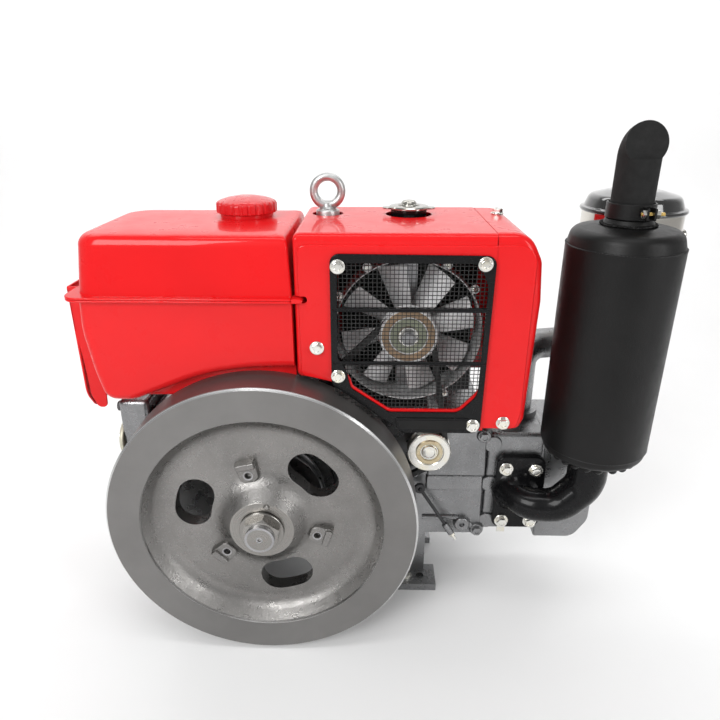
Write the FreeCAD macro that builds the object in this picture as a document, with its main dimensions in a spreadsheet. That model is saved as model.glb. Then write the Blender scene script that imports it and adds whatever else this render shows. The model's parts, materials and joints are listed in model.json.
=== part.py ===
"""Horizontal water-cooled single-cylinder engine, built as separate named pieces.

Frame, in millimetres: the origin is the centre of the four base studs, on the
underside of the feet.  +Z is up, +X runs from the fuel tank to the cylinder head,
and -Y is the flywheel side.  The crank turns about a line parallel to Y.
"""
import FreeCAD, Part
import Sketcher
import math
import os
import re
from FreeCAD import Placement, Rotation, Vector

SIZES = {
    # base and crank line
    "stud_span_x": 400, "stud_span_y": 190, "stud_hole": 7, "foot_thick": 13,
    "crank_x": -45, "crank_z": 230,
    # flywheel
    "wheel_front": -250, "wheel_radius": 225, "wheel_width": 63, "rim_inner": 176,
    "web_front": 28, "web_back": 50, "hub_radius": 46, "hub_root": 84, "wheel_bore": 21,
    "lug_circle": 170, "lug_hole": 5, "lug_size": 34,
    "window_radius": 106, "window_half": 27, "window_angle": 7.3,
    # crank train
    "stroke": 115, "bore_radius": 56, "crown_height": 64,
    "piston_length": 118, "pin_radius": 17, "crankpin_radius": 35, "journal_radius": 40,
    "cylinder_y": -45, "running_gap": 0.05, "web_radius": 100, "web_width": 22,
    # crankcase
    "case_left": -245, "side_left": -288, "case_right": 200, "case_bottom": 42, "case_top": 368,
    "case_front": -130, "case_back": 40, "case_wall": 14, "deck_x": 292,
    "block_low": 135, "block_high": 335, "cavity_low": 119, "gear_depth": 62,
    # gears
    "gear_module": 4, "crank_teeth": 28, "cam_teeth": 56, "gear_front": 46, "gear_width": 22,
    "cam_angle": 25, "balance_angle": 100,
    # belt drive
    "belt_front": -159.2, "belt_width": 8.4, "belt_depth": 8, "crank_belt": 80,
    "fan_belt_radius": 38, "idler_belt": 30,
    "fan_x": 162, "fan_z": 497, "idler_x": 199, "idler_z": 310,
    "fan_radius": 96, "shroud_radius": 103, "arm_x": 177, "arm_z": 263,
    # sheet metal
    "sheet": 2, "side_front": -210, "side_back": 15, "tank_left": -279, "tank_right": 7,
    "tank_top": 645, "seam_z": 563, "tank_low": 415, "arch_radius": 240,
    "hood_left": 10, "hood_right": 266, "hood_top": 648, "hood_low": 371,
    # top pieces
    "cap_x": -72, "cap_y": -64, "cap_radius": 43.5, "eye_x": 45, "eye_y": -55,
    "neck_x": 163, "neck_y": -58,
    # exhaust and intake
    "muffler_x": 437, "muffler_y": -170, "muffler_radius": 74, "muffler_low": 316,
    "muffler_high": 628, "mouth_z": 753, "outlet_radius": 28.5,
    "cleaner_x": 506, "cleaner_y": -8, "cleaner_radius": 73.5, "cleaner_top": 650,
    # head
    "head_front": -125, "head_back": 35, "head_length": 92, "head_low": 142, "head_high": 322,
}

ALONG_Y = Rotation(Vector(1, 0, 0), -90)
TO_FRONT = Rotation(Vector(1, 0, 0), 90)
ALONG_X = Rotation(Vector(0, 1, 0), 90)
UPRIGHT = Rotation()

doc = FreeCAD.newDocument("engine")
sheet = doc.addObject("Spreadsheet::Sheet", "Sizes")
for row, (alias, number) in enumerate(SIZES.items(), start=1):
    sheet.set("A%d" % row, alias)
    sheet.set("B%d" % row, str(number))
    sheet.setAlias("B%d" % row, alias)
doc.recompute()

pieces = []


def size(alias):
    """Read one driving dimension from the sheet."""
    return float(sheet.get(alias))


def formula(text):
    """Point each size's name in an expression at its cell."""
    return re.sub(r"[a-z][a-z0-9_]*",
                  lambda word: "Sizes." + word.group(0) if word.group(0) in SIZES else word.group(0),
                  str(text))


def place(item, at=(0, 0, 0), turn=UPRIGHT):
    """Turn an object, and bind its position to the sheet."""
    item.Placement = Placement(Vector(), turn)
    for axis, text in zip("xyz", at):
        item.setExpression("Placement.Base." + axis, formula(text))
    return item


def primitive(kind, at, turn, **sizes):
    """Make a Part primitive whose sizes are bound to the sheet."""
    item = doc.addObject(kind, kind.split("::")[1])
    for name, text in sizes.items():
        item.setExpression(name, formula(text))
    return place(item, at, turn)


def box(low, high):
    """Make a box between two corners, each given as three expressions."""
    spans = ["(%s) - (%s)" % (far, near) for near, far in zip(low, high)]
    return primitive("Part::Box", low, UPRIGHT, Length=spans[0], Width=spans[1], Height=spans[2])


def rod(at, turn, radius, length):
    """Make a round bar that starts at a point and runs along the turned Z axis."""
    return primitive("Part::Cylinder", at, turn, Radius=radius, Height=length)


def hexagon(at, turn, across, length):
    """Make a six-sided bar, with its size across the flats."""
    item = doc.addObject("Part::Prism", "Prism")
    item.Polygon = 6
    item.setExpression("Circumradius", formula("(%s) / sqrt(3)" % across))
    item.setExpression("Height", formula(length))
    return place(item, at, turn)


def fused(*items):
    """Join several objects into one solid."""
    if len(items) == 1:
        return items[0]
    item = doc.addObject("Part::MultiFuse", "Fuse")
    item.Shapes = list(items)
    item.Refine = True
    return item


def cut(base, *tools):
    """Take one or more tools out of a base object."""
    item = doc.addObject("Part::Cut", "Cut")
    item.Base = base
    item.Tool = fused(*tools)
    return item


def tube(at, turn, outer, inner, length):
    """Make a round tube."""
    return cut(rod(at, turn, outer, length), rod(at, turn, inner, length))


def gathered(*items):
    """Keep several solids together as one group."""
    item = doc.addObject("Part::Compound", "Group")
    item.Links = list(items)
    return item


def named(label, item):
    """Give a finished sub-part its name and list it."""
    item.Label = label
    pieces.append(item)
    return item


def edges_of(shape, wanted):
    """Names of a shape's edges that a test picks."""
    return ["Edge%d" % number for number, edge in enumerate(shape.Edges, start=1) if wanted(edge)]


def runs_along(axis):
    """Test for straight edges along an axis."""
    def wanted(edge):
        if edge.Curve.TypeId != "Part::GeomLine":
            return False
        return abs(abs(edge.Curve.Direction.dot(axis)) - 1) < 1e-6
    return wanted


def all_of(*tests):
    """Test for edges that pass every one of several tests."""
    def wanted(edge):
        return all(test(edge) for test in tests)
    return wanted


def rounded(base, radius, wanted):
    """Fillet chosen edges of a Part object."""
    doc.recompute()
    item = doc.addObject("Part::Fillet", "Fillet")
    item.Base = base
    names = edges_of(base.Shape, wanted)
    item.Edges = [(int(name[4:]), radius, radius) for name in names]
    return item


def new_body():
    """Start a PartDesign body."""
    return doc.addObject("PartDesign::Body", "Body")


def origin_plane(body, role):
    """Find one of a body's own origin planes."""
    return [item for item in body.Origin.OriginFeatures if item.Role == role][0]


def outline(body, plane, level, corners=(), circles=()):
    """Draw a closed polygon and circles whose places are bound to the sheet.

    The sketch lies on one of the body's planes, level mm along that plane's normal.
    """
    sketch = body.newObject("Sketcher::SketchObject", "Sketch")
    sketch.AttachmentSupport = [(origin_plane(body, plane), "")]
    sketch.MapMode = "FlatFace"
    sketch.setExpression("AttachmentOffset.Base.z", formula(level))
    count = len(corners)
    turns = [2 * math.pi * number / count for number in range(count)]
    starts = [Vector(math.cos(turn), math.sin(turn), 0) for turn in turns]
    for number in range(count):
        sketch.addGeometry(Part.LineSegment(starts[number] * 50, starts[(number + 1) % count] * 50))
    for number in range(count):
        sketch.addConstraint(Sketcher.Constraint("Coincident", number, 2, (number + 1) % count, 1))
    for number, (across, up) in enumerate(corners):
        bind_point(sketch, number, 1, across, up)
    for across, up, radius in circles:
        circle = sketch.addGeometry(Part.Circle(Vector(), Vector(0, 0, 1), 10))
        bind_point(sketch, circle, 3, across, up)
        held = sketch.addConstraint(Sketcher.Constraint("Radius", circle, 10))
        sketch.setExpression("Constraints[%d]" % held, formula(radius))
    return sketch


def bind_point(sketch, geometry, end, across, up):
    """Fix one point of a sketch at two bound coordinates."""
    for kind, text in (("DistanceX", across), ("DistanceY", up)):
        held = sketch.addConstraint(Sketcher.Constraint(kind, geometry, end, 1))
        sketch.setExpression("Constraints[%d]" % held, formula(text))


def pad(body, sketch, length):
    """Extrude a sketch along its plane's normal."""
    item = body.newObject("PartDesign::Pad", "Pad")
    item.Profile = sketch
    item.setExpression("Length", formula(length))
    return item


def pocket(body, sketch, length, forward=False):
    """Cut a sketch out of the body, against its plane's normal or forward along it."""
    doc.recompute()
    before = body.Shape.Volume
    item = body.newObject("PartDesign::Pocket", "Pocket")
    item.Profile = sketch
    item.Reversed = forward
    item.setExpression("Length", formula(length))
    doc.recompute()
    if body.Shape.Volume > before - 1:
        raise RuntimeError("a pocket cuts nothing in " + body.Name)
    return item


def rounding(body, radius, wanted):
    """Fillet chosen edges of a PartDesign body."""
    doc.recompute()
    base = body.Tip
    item = body.newObject("PartDesign::Fillet", "Fillet")
    item.Base = (base, edges_of(base.Shape, wanted))
    item.setExpression("Radius", formula(radius))
    return item


def turned(at, turn, profile):
    """Revolve a half section, given as radius and height, about the body's own Z axis."""
    body = new_body()
    sketch = outline(body, "XZ_Plane", 0, profile)
    item = body.newObject("PartDesign::Revolution", "Revolution")
    item.Profile = sketch
    item.ReferenceAxis = (sketch, ["V_Axis"])
    item.Angle = 360
    return place(body, at, turn)


def extruded(plane, level, length, corners, circles=()):
    """Extrude an outline as a body."""
    body = new_body()
    pad(body, outline(body, plane, level, corners, circles), length)
    return body


def bolt(at, turn, across, washer, head, shank, length):
    """Hexagon bolt: its washer starts at the point, its shank runs back into the joint."""
    forward = turn.multVec(Vector(0, 0, 1))
    steps = [["(%s) + %g * (%s)" % (text, part, lift) for text, part in zip(at, forward)]
             for lift in ("2", "-(%s)" % length)]
    return fused(rod(at, turn, washer, 2), hexagon(steps[0], turn, across, head),
                 rod(steps[1], turn, shank, length))


def bent_tube(points, radius, bend, wall=0.0):
    """Sweep a round section along straight runs joined by arcs of one bend radius."""
    points = [Vector(*point) for point in points]
    edges = []
    last = points[0]
    for before, corner, after in zip(points, points[1:], points[2:]):
        back = (before - corner).normalize()
        ahead = (after - corner).normalize()
        half = back.getAngle(ahead) / 2
        reach = bend / math.tan(half)
        middle = corner + (back + ahead).normalize() * (bend / math.sin(half) - bend)
        edges.append(Part.LineSegment(last, corner + back * reach).toShape())
        edges.append(Part.Arc(corner + back * reach, middle, corner + ahead * reach).toShape())
        last = corner + ahead * reach
    edges.append(Part.LineSegment(last, points[-1]).toShape())
    path = Part.Wire(edges)
    facing = points[1] - points[0]

    def swept(ring):
        section = Part.Wire(Part.makeCircle(ring, points[0], facing))
        return path.makePipeShell([section], True, True)
    solid = swept(radius)
    return solid.cut(swept(radius - wall)) if wall else solid


def shaped(shape):
    """Hold a shape that neither sketches nor primitives make."""
    item = doc.addObject("Part::Feature", "Feature")
    item.Shape = shape
    return item


# ---------------------------------------------------------------- castings

def make_crankcase():
    """Cast crankcase with the cylinder block on its +X side."""
    body = new_body()
    corners = [("case_left", 120), ("case_left + 30", "case_bottom"), ("case_right - 20", "case_bottom"),
               ("case_right", 62), ("case_right", "block_low"), ("deck_x", "block_low"),
               ("deck_x", "block_high"), ("case_right + 14", "block_high"), ("case_right", "case_top"),
               ("case_left + 32", "case_top"), ("case_left", "case_top - 30")]
    depth = "case_back - case_front"
    pad(body, outline(body, "XZ_Plane", "-case_back", corners), depth)
    rounding(body, 12, runs_along(Vector(0, 1, 0)))
    low_front = [("case_left - 5", 0), ("case_right + 5", 0),
                 ("case_right + 5", "cavity_low - 8"), ("case_left - 5", "cavity_low - 8")]
    pocket(body, outline(body, "XZ_Plane", "-case_front + 1", low_front), "65 + 1")
    inner = [("case_left + case_wall", "cavity_low"), ("case_right - case_wall", "cavity_low"),
             ("case_right - case_wall", "case_top - case_wall"), ("case_left + 40", "case_top - case_wall"),
             ("case_left + case_wall", "case_top - 40")]
    pocket(body, outline(body, "XZ_Plane", "-case_back", inner), "case_back - case_front - 16", True)
    sump = [("case_left + 40", "case_bottom + case_wall"), ("case_right - 30", "case_bottom + case_wall"),
            ("case_right - 20", "cavity_low + 1"), ("case_left + 24", "cavity_low + 1")]
    pocket(body, outline(body, "XZ_Plane", "-case_back", sump), "case_back + 51", True)
    blank_pad = [(199, 223), (289, 223), (289, 251), (199, 251)]
    rib = [(193, 164), (262, 164), (262, 170), (193, 170)]
    pad(body, outline(body, "XZ_Plane", "-case_front", blank_pad), 2)
    pad(body, outline(body, "XZ_Plane", "-case_front", rib), 7)
    pad(body, outline(body, "XZ_Plane", "-case_front", (), [(261, 156, 13)]), 8)
    liner = rod(("deck_x - 143", "cylinder_y", "crank_z"), ALONG_X, "bore_radius + 8", 145)
    front_bore = rod(("crank_x", "case_front - 1", "crank_z"), ALONG_Y, 62, 20)
    back_bore = rod(("crank_x", "case_back - 40", "crank_z"), ALONG_Y, "journal_radius + running_gap", 50)
    cam_turn = math.radians(size("cam_angle"))
    reach = size("gear_module") * (size("crank_teeth") + size("cam_teeth")) / 2
    cam_x = size("crank_x") + reach * math.cos(cam_turn)
    cam_z = size("crank_z") + reach * math.sin(cam_turn)
    cam_bore = rod((cam_x, "case_front + 6", cam_z), ALONG_Y, 14.05, 20)
    back_wall = box(("case_left + 20", "case_back - 16", 60),
                    ("case_right - 4", "case_back", "case_top - 4"))
    wall_bore = rod(("crank_x", "case_back - 20", "crank_z"), ALONG_Y,
                    "journal_radius + running_gap", 24)
    wall_cam = rod((cam_x, "case_back - 20", cam_z), ALONG_Y, 17.05, 24)
    stubs = []
    for side in (1, -1):
        turn = math.radians(side * size("balance_angle"))
        far = size("gear_module") * size("crank_teeth")
        at = (size("crank_x") + far * math.cos(turn), "case_back", size("crank_z") + far * math.sin(turn))
        stubs.append(rod(at, ALONG_Y, 12, 34))
    side_box = rounded(box(("side_left", -112, 240), ("case_left + 2", 0, 366)), 8,
                       runs_along(Vector(1, 0, 0)))
    shell = fused(cut(body, liner, front_bore, back_bore, cam_bore), side_box)
    named("crankcase", fused(shell, cut(back_wall, wall_bore, wall_cam), *stubs))
    return cam_x, cam_z


def make_cylinder():
    """Liner, head gasket, head and rocker cover, in a row along X."""
    named("cylinder_liner", tube(("deck_x - 140", "cylinder_y", "crank_z"), ALONG_X,
                                 "bore_radius + 8", "bore_radius", 140))
    gasket = box(("deck_x", "head_front", "head_low"), ("deck_x + 1.5", "head_back", "head_high"))
    gasket_hole = rod(("deck_x - 1", "cylinder_y", "crank_z"), ALONG_X, "bore_radius + 1", 4)
    named("head_gasket", cut(gasket, gasket_hole))
    head_start = "deck_x + 1.5"
    head_end = "deck_x + 1.5 + head_length"
    block = box((head_start, "head_front", "head_low"), (head_end, "head_back", "head_high"))
    block = rounded(block, 10, runs_along(Vector(1, 0, 0)))
    tools = []
    for z_shift, seat in ((26, 25), (-28, 22)):
        at = (head_start, "cylinder_y", "crank_z + %d" % z_shift)
        tools.append(rod(at, ALONG_X, seat, 12))
        tools.append(rod(at, ALONG_X, 5.1, "head_length + 1"))
    tools.append(rod(("deck_x + 48", "head_front - 1", 217), ALONG_Y, 22, 50))
    tools.append(rod(("deck_x + 60", "cylinder_y", "head_high - 45"), UPRIGHT, 20, 50))
    tools.append(rod(("deck_x + 28", 12, "head_high - 60"), UPRIGHT, 9, 70))
    named("cylinder_head", cut(block, *tools))
    cover_end = "deck_x + 1.5 + head_length + 88"
    outer = box((head_end, "head_front + 8", "head_low - 22"),
                (cover_end, "head_back - 6", "head_high - 14"))
    far_edges = all_of(runs_along(Vector(0, 1, 0)), lambda edge: edge.BoundBox.XMin > 400)
    outer = rounded(outer, 26, far_edges)
    inner = box((head_end, "head_front + 13", "head_low - 17"),
                ("%s - 6" % cover_end, "head_back - 11", "head_high - 19"))
    hole = rod(("%s - 30" % cover_end, "head_back - 30", "head_high - 40"), UPRIGHT, 6.05, 40)
    named("rocker_cover", cut(outer, inner, hole))


def make_gear_case(cam_x, cam_z):
    """Gear case on the far side, hollow, with the starting shaft's opening."""
    low = "case_back"
    high = "case_back + gear_depth"
    corners = [("case_left + 10", 168), ("case_left + 118", 46), ("case_right - 30", 46),
               (256, 150), (262, 400), (200, 436), ("case_left + 60", 436), ("case_left + 10", 380)]
    body = extruded("XZ_Plane", "-(%s)" % high, "gear_depth", corners)
    rounding(body, 22, runs_along(Vector(0, 1, 0)))
    inner = [("case_left + 22", 176), ("case_left + 124", 56), ("case_right - 38", 56),
             (243, 156), (249, 392), (195, 423), ("case_left + 66", 423), ("case_left + 22", 374)]
    sketch = outline(body, "XZ_Plane", "-(%s)" % low, inner)
    pocket(body, sketch, "gear_depth - 10")
    starter = rod((cam_x, "%s - 20" % high, cam_z), ALONG_Y, 17.05, 60)
    collar = rod((cam_x, high, cam_z), ALONG_Y, 30, 14)
    filler = rod(("case_left + 70", "case_back + 34", 420), UPRIGHT, 10.3, 40)
    filler_boss = rod(("case_left + 70", "case_back + 34", 425), UPRIGHT, 18, 20)
    lever = rod((160, "%s - 20" % high, 150), ALONG_Y, 6.05, 40)
    lever_boss = rod((160, high, 150), ALONG_Y, 13, 8)
    named("gear_case", cut(fused(body, collar, filler_boss, lever_boss), starter, filler, lever))


def make_bearing_cover():
    """Main bearing cover behind the crank pulley."""
    profile = [("journal_radius + running_gap", 0), (62, 0), (62, 18), (96, 18), (96, 28),
               ("journal_radius + running_gap", 28)]
    named("main_bearing_cover", turned(("crank_x", "case_front + 18", "crank_z"), TO_FRONT, profile))
    cover = turned(("side_left", -82, 287), Rotation(Vector(0, 1, 0), -90),
                   [(0, 0), (34, 0), (34, 5), (30, 8), (9, 8), (9, 13), (6, 17), (0, 18)])
    named("inspection_cover", cover)


def make_feet():
    """Four cast feet with an open stud hole each, and the bolts that hold them."""
    feet = []
    bolts = []
    near = ("-stud_span_y / 2", "-117", "case_front + 65", "case_front + 51", 111)
    far = ("stud_span_y / 2", "10", "117", "12", "case_bottom")
    for side in (1, -1):
        for row in (near, far):
            feet.append(make_foot(side, *row))
        bolt_x = "%d * stud_span_x / 2 - %d" % (side, 26 * side)
        bolts.append(bolt((bolt_x, "-stud_span_y / 2", "foot_thick"), UPRIGHT, 16, 12, 12, 6, 9))
        wall_x = "%d * stud_span_x / 2 - %d" % (side, 19 * side)
        for height in (63, 98):
            bolts.append(bolt((wall_x, "case_front + 51", height), TO_FRONT, 16, 11, 9, 5, 0.5))
    named("mounting_feet", gathered(*feet))
    named("foot_bolts", gathered(*bolts))


def make_foot(side, hole_y, low, high, wall_low, wall_high):
    """One foot: sole, upright wall and a rib between them."""
    middle = "%d * stud_span_x / 2" % side
    wall_middle = "%s - %d" % (middle, 19 * side)
    rib_middle = "%s - %d" % (middle, 44 * side)
    inward = "%s - %d" % (middle, 16 * side)
    sole = fused(box((middle + " - 27", low, 0), (middle + " + 27", high, "foot_thick")),
                 box((inward + " - 27", low, 0), (inward + " + 27", high, "foot_thick")))
    wall = box((wall_middle + " - 27", wall_low, 0), (wall_middle + " + 27", wall_low + " + 14", wall_high))
    rib_end = wall_low + " + 5" if low.startswith("-") else wall_low + " + 60"
    rib = box((rib_middle + " - 4", low + " + 6", 0), (rib_middle + " + 4", rib_end, 40))
    hole = rod((middle, hole_y, -1), UPRIGHT, "stud_hole", "foot_thick + 2")
    return cut(fused(sole, wall, rib), hole)


# ---------------------------------------------------------------- crank train

def make_flywheel():
    """Flywheel with three kidney windows and three tapped lugs."""
    profile = [("wheel_bore", 0), ("hub_radius", 0), ("hub_radius + 3", 3), ("hub_root", "web_front"),
               ("rim_inner - 16", "web_front"), ("rim_inner", 2), ("rim_inner + 4", 0),
               ("wheel_radius - 2.5", 0), ("wheel_radius", 2.5), ("wheel_radius", "wheel_width - 2.5"),
               ("wheel_radius - 2.5", "wheel_width"), ("rim_inner", "wheel_width"),
               ("rim_inner - 10", "web_back"), ("hub_root", "web_back"), (56, "wheel_width"),
               ("wheel_bore", "wheel_width")]
    body = turned(("crank_x", "wheel_front", "crank_z"), ALONG_Y, profile)

    def ring_near(radius, height):
        def wanted(edge):
            if edge.Curve.TypeId != "Part::GeomCircle":
                return False
            return abs(edge.Curve.Radius - radius) < 1 and abs(edge.Curve.Center.z - height) < 1
        return wanted
    rounding(body, 30, ring_near(size("hub_root"), size("web_front")))
    rounding(body, 16, ring_near(size("rim_inner") - 16, size("web_front")))
    window_tools = []
    lugs = []
    holes = []
    front = size("wheel_front")
    for number in range(3):
        middle = 45.5 + 120 * number
        inner = size("window_radius") - size("window_half")
        outer = size("window_radius") + size("window_half")
        window_tools.append(kidney(inner, outer, middle, size("window_angle"), front - 5, 80))
        angle = math.radians(103 + 120 * number)
        at = (size("crank_x") + size("lug_circle") / 2 * math.cos(angle), front,
              size("crank_z") + size("lug_circle") / 2 * math.sin(angle))
        half = size("lug_size") / 2
        lug = Part.makeBox(2 * half, 30, 2 * half, Vector(-half, 20, -half))
        lug.rotate(Vector(), Vector(0, 1, 0), -math.degrees(angle))
        lug.translate(Vector(*at))
        lugs.append(shaped(lug))
        holes.append(rod(at, ALONG_Y, "lug_hole", 70))
    wheel = fused(body, *lugs)
    tools = [shaped(tool) for tool in window_tools]
    named("flywheel", cut(wheel, *(tools + holes)))


def kidney(inner, outer, middle, half_angle, start, depth):
    """Kidney-shaped cutter about the crank line, with rounded ends."""
    centre = Vector(size("crank_x"), start, size("crank_z"))
    axis = Vector(0, 1, 0)
    mean = (inner + outer) / 2
    end_radius = (outer - inner) / 2

    def at(radius, degrees):
        turn = math.radians(degrees)
        return centre + Vector(radius * math.cos(turn), 0, radius * math.sin(turn))
    low, high = middle - half_angle, middle + half_angle
    end_turn = math.degrees(end_radius / mean)
    edges = [Part.Arc(at(outer, low), at(outer, middle), at(outer, high)).toShape(),
             Part.Arc(at(outer, high), at(mean, high + end_turn), at(inner, high)).toShape(),
             Part.Arc(at(inner, high), at(inner, middle), at(inner, low)).toShape(),
             Part.Arc(at(inner, low), at(mean, low - end_turn), at(outer, low)).toShape()]
    return Part.Face(Part.Wire(edges)).extrude(axis * depth)


def make_crank():
    """Crankshaft, its gear, the pulley and the flywheel nut."""
    throw = "stroke / 2"
    journals = [(-272, "case_front - 12", "wheel_bore"), ("case_front - 12", -92, "journal_radius"),
                (-20, "case_back + 6", "journal_radius"), ("case_back + 6", "case_back + 34", 30)]
    parts = [rod(("crank_x", start, "crank_z"), ALONG_Y, radius, "(%s) - (%s)" % (end, start))
             for start, end, radius in journals]
    parts.append(rod(("crank_x + " + throw, -92, "crank_z"), ALONG_Y, "crankpin_radius", 94))
    for start in (-92, -20):
        parts.append(half_disc(("crank_x", start, "crank_z"), "web_radius", "web_width"))
        parts.append(box(("crank_x", start, "crank_z - 44"),
                         ("crank_x + %s + 40" % throw, "%s + web_width" % start, "crank_z + 44")))
    centre_drill = rod(("crank_x", -273, "crank_z"), ALONG_Y, 2.5, 9)
    named("crankshaft", cut(fused(*parts), centre_drill))
    nut = hexagon(("crank_x", "wheel_front - 4", "crank_z"), TO_FRONT, 50, 12)
    washer = rod(("crank_x", "wheel_front", "crank_z"), TO_FRONT, 32, 4)
    nut_bore = rod(("crank_x", -290, "crank_z"), ALONG_Y, "wheel_bore", 50)
    named("flywheel_nut", cut(fused(nut, washer), nut_bore))
    belt_middle = "belt_front + belt_width / 2"
    named("crank_pulley", turned(("crank_x", belt_middle, "crank_z"), ALONG_Y,
                                 pulley_profile("crank_belt", "wheel_bore", 24)))
    gear = gear_shape(int(size("crank_teeth")), 30, size("crank_x"), size("crank_z"), 0.5)
    named("crank_gear", gear)
    pin_start = ("crank_x + stroke / 2", "cylinder_y - 22", "crank_z")
    named("big_end", tube(pin_start, ALONG_Y, 47, "crankpin_radius + running_gap", 44))


def half_disc(at, radius, width):
    """Half of a round plate about a line along Y, on the side away from the crankpin."""
    item = primitive("Part::Cylinder", at, Rotation(Vector(0, 1, 0), 90).multiply(ALONG_Y),
                     Radius=radius, Height=width)
    item.Angle = 180
    return item


def pulley_profile(belt_radius, bore, width):
    """Half section of a V-belt pulley, about the middle of its groove."""
    half = width / 2
    rim = "%s + 3" % belt_radius
    floor = "%s - belt_depth - 0.3" % belt_radius
    return [(bore, -half), (rim, -half), (rim, -8), (floor, -4.6), (floor, 4.6), (rim, 8), (rim, half),
            (bore, half)]


def gear_shape(teeth, bore, x, z, phase):
    """Spur gear with involute flanks, about a line along Y; phase is in tooth pitches."""
    module = size("gear_module")
    pitch = module * teeth / 2
    base = pitch * math.cos(math.radians(20))
    tip, root = pitch + module * 0.97, pitch - module * 1.25
    half_tooth = math.pi / 2 / teeth - 0.12 / pitch + math.tan(math.radians(20)) - math.radians(20)

    def flank(radius):
        roll = math.acos(min(1.0, base / radius))
        return half_tooth - (math.tan(roll) - roll)
    radii = [max(base, root) + (tip - max(base, root)) * step / 4 for step in range(5)]
    front = size("gear_front")
    corners = []
    for number in range(teeth):
        middle = 2 * math.pi * (number + phase) / teeth
        rising = [(root, -flank(radii[0]))] + [(radius, -flank(radius)) for radius in radii]
        falling = [(radius, -angle) for radius, angle in reversed(rising)]
        for radius, angle in rising + falling:
            turn = middle + angle
            corners.append(Vector(x + radius * math.cos(turn), front, z + radius * math.sin(turn)))
    face = Part.Face(Part.makePolygon(corners + corners[:1]))
    blank = face.extrude(Vector(0, size("gear_width"), 0))
    hole = Part.makeCylinder(bore, size("gear_width") + 2, Vector(x, front - 1, z), Vector(0, 1, 0))
    return shaped(blank.cut(hole))


def make_piston():
    """Piston at the top of its stroke, its rings and pin, and the rod's shank."""
    crown = "deck_x - 0.5"
    pin_x = "deck_x - 0.5 - crown_height"
    skirt = crown + " - piston_length"
    body = rod((skirt, "cylinder_y", "crank_z"), ALONG_X, "bore_radius - running_gap", "piston_length")
    hollow = rod((skirt + " - 1", "cylinder_y", "crank_z"), ALONG_X, 43, "piston_length - 17")
    pin_hole = rod((pin_x, "cylinder_y - 60", "crank_z"), ALONG_Y, "pin_radius", 120)
    grooves = []
    rings = []
    for start in (14, 24, 36):
        groove_at = ("%s - %d" % (crown, start), "cylinder_y", "crank_z")
        ring_at = ("%s - %d + 0.5" % (crown, start), "cylinder_y", "crank_z")
        grooves.append(tube(groove_at, ALONG_X, "bore_radius + 2", "bore_radius - 4", 4))
        rings.append(tube(ring_at, ALONG_X, "bore_radius - 0.02", "bore_radius - 3.5", 3))
    named("piston", cut(body, hollow, pin_hole, *grooves))
    named("piston_rings", gathered(*rings))
    named("piston_pin", tube((pin_x, "cylinder_y - 48", "crank_z"), ALONG_Y, "pin_radius", 9, 96))
    start = "crank_x + stroke / 2 + 56"
    eye = rod((pin_x, "cylinder_y - 17", "crank_z"), ALONG_Y, 27, 34)
    web = box((start, "cylinder_y - 5", "crank_z - 15"), (pin_x, "cylinder_y + 5", "crank_z + 15"))
    flanges = [box((start, "cylinder_y - 11", "crank_z + %d" % low),
                   (pin_x, "cylinder_y + 11", "crank_z + %d + 5" % low)) for low in (-20, 15)]
    hole = rod((pin_x, "cylinder_y - 20", "crank_z"), ALONG_Y, "pin_radius", 40)
    named("connecting_rod", cut(fused(eye, web, *flanges), hole))


def make_gear_train(cam_x, cam_z):
    """Camshaft with the starting dog on its end, and the two balancers."""
    teeth = int(size("cam_teeth"))
    towards_cam = math.radians(size("cam_angle"))
    crank_teeth = int(size("crank_teeth"))
    gear = gear_shape(teeth, 12, cam_x, cam_z, mesh_phase(teeth, crank_teeth, towards_cam, 0.5))
    parts = [gear, rod((cam_x, "case_front + 6.5", cam_z), ALONG_Y, 14, 40),
             rod((cam_x, -84, cam_z), ALONG_Y, 17, 130), rod((cam_x, "gear_front", cam_z), ALONG_Y, 17, 78)]
    for start, lift in ((-70, 8), (-40, -8)):
        parts.append(rod((cam_x, start, cam_z), ALONG_Y, 19, 14))
        parts.append(rod((cam_x + lift * 0.5, start, cam_z + lift * 0.8), ALONG_Y, 15, 14))
    slot = box((cam_x - 4, "gear_front + 66", cam_z - 20), (cam_x + 4, "gear_front + 80", cam_z + 20))
    named("camshaft", cut(fused(*parts), slot))
    for name, side in (("upper_balancer", 1), ("lower_balancer", -1)):
        turn = math.radians(side * size("balance_angle"))
        reach = size("gear_module") * crank_teeth
        x, z = size("crank_x") + reach * math.cos(turn), size("crank_z") + reach * math.sin(turn)
        gear = gear_shape(crank_teeth, 12.05, x, z, mesh_phase(crank_teeth, crank_teeth, turn, 0.5))
        weight = half_disc((x, "gear_front + gear_width", z), 44, 16)
        hub = rod((x, "gear_front + gear_width", z), ALONG_Y, 20, 16)
        bore = rod((x, "gear_front - 2", z), ALONG_Y, 12.05, 60)
        named(name, cut(fused(gear, weight, hub), bore))


def mesh_phase(teeth, driver_teeth, direction, driver_phase):
    """Phase that puts a gap of one gear on a tooth of its driver, along a direction."""
    driver = direction / (2 * math.pi) * driver_teeth - driver_phase
    own = (direction + math.pi) / (2 * math.pi) * teeth
    return own + driver + 0.5


# ---------------------------------------------------------------- belt drive

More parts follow.
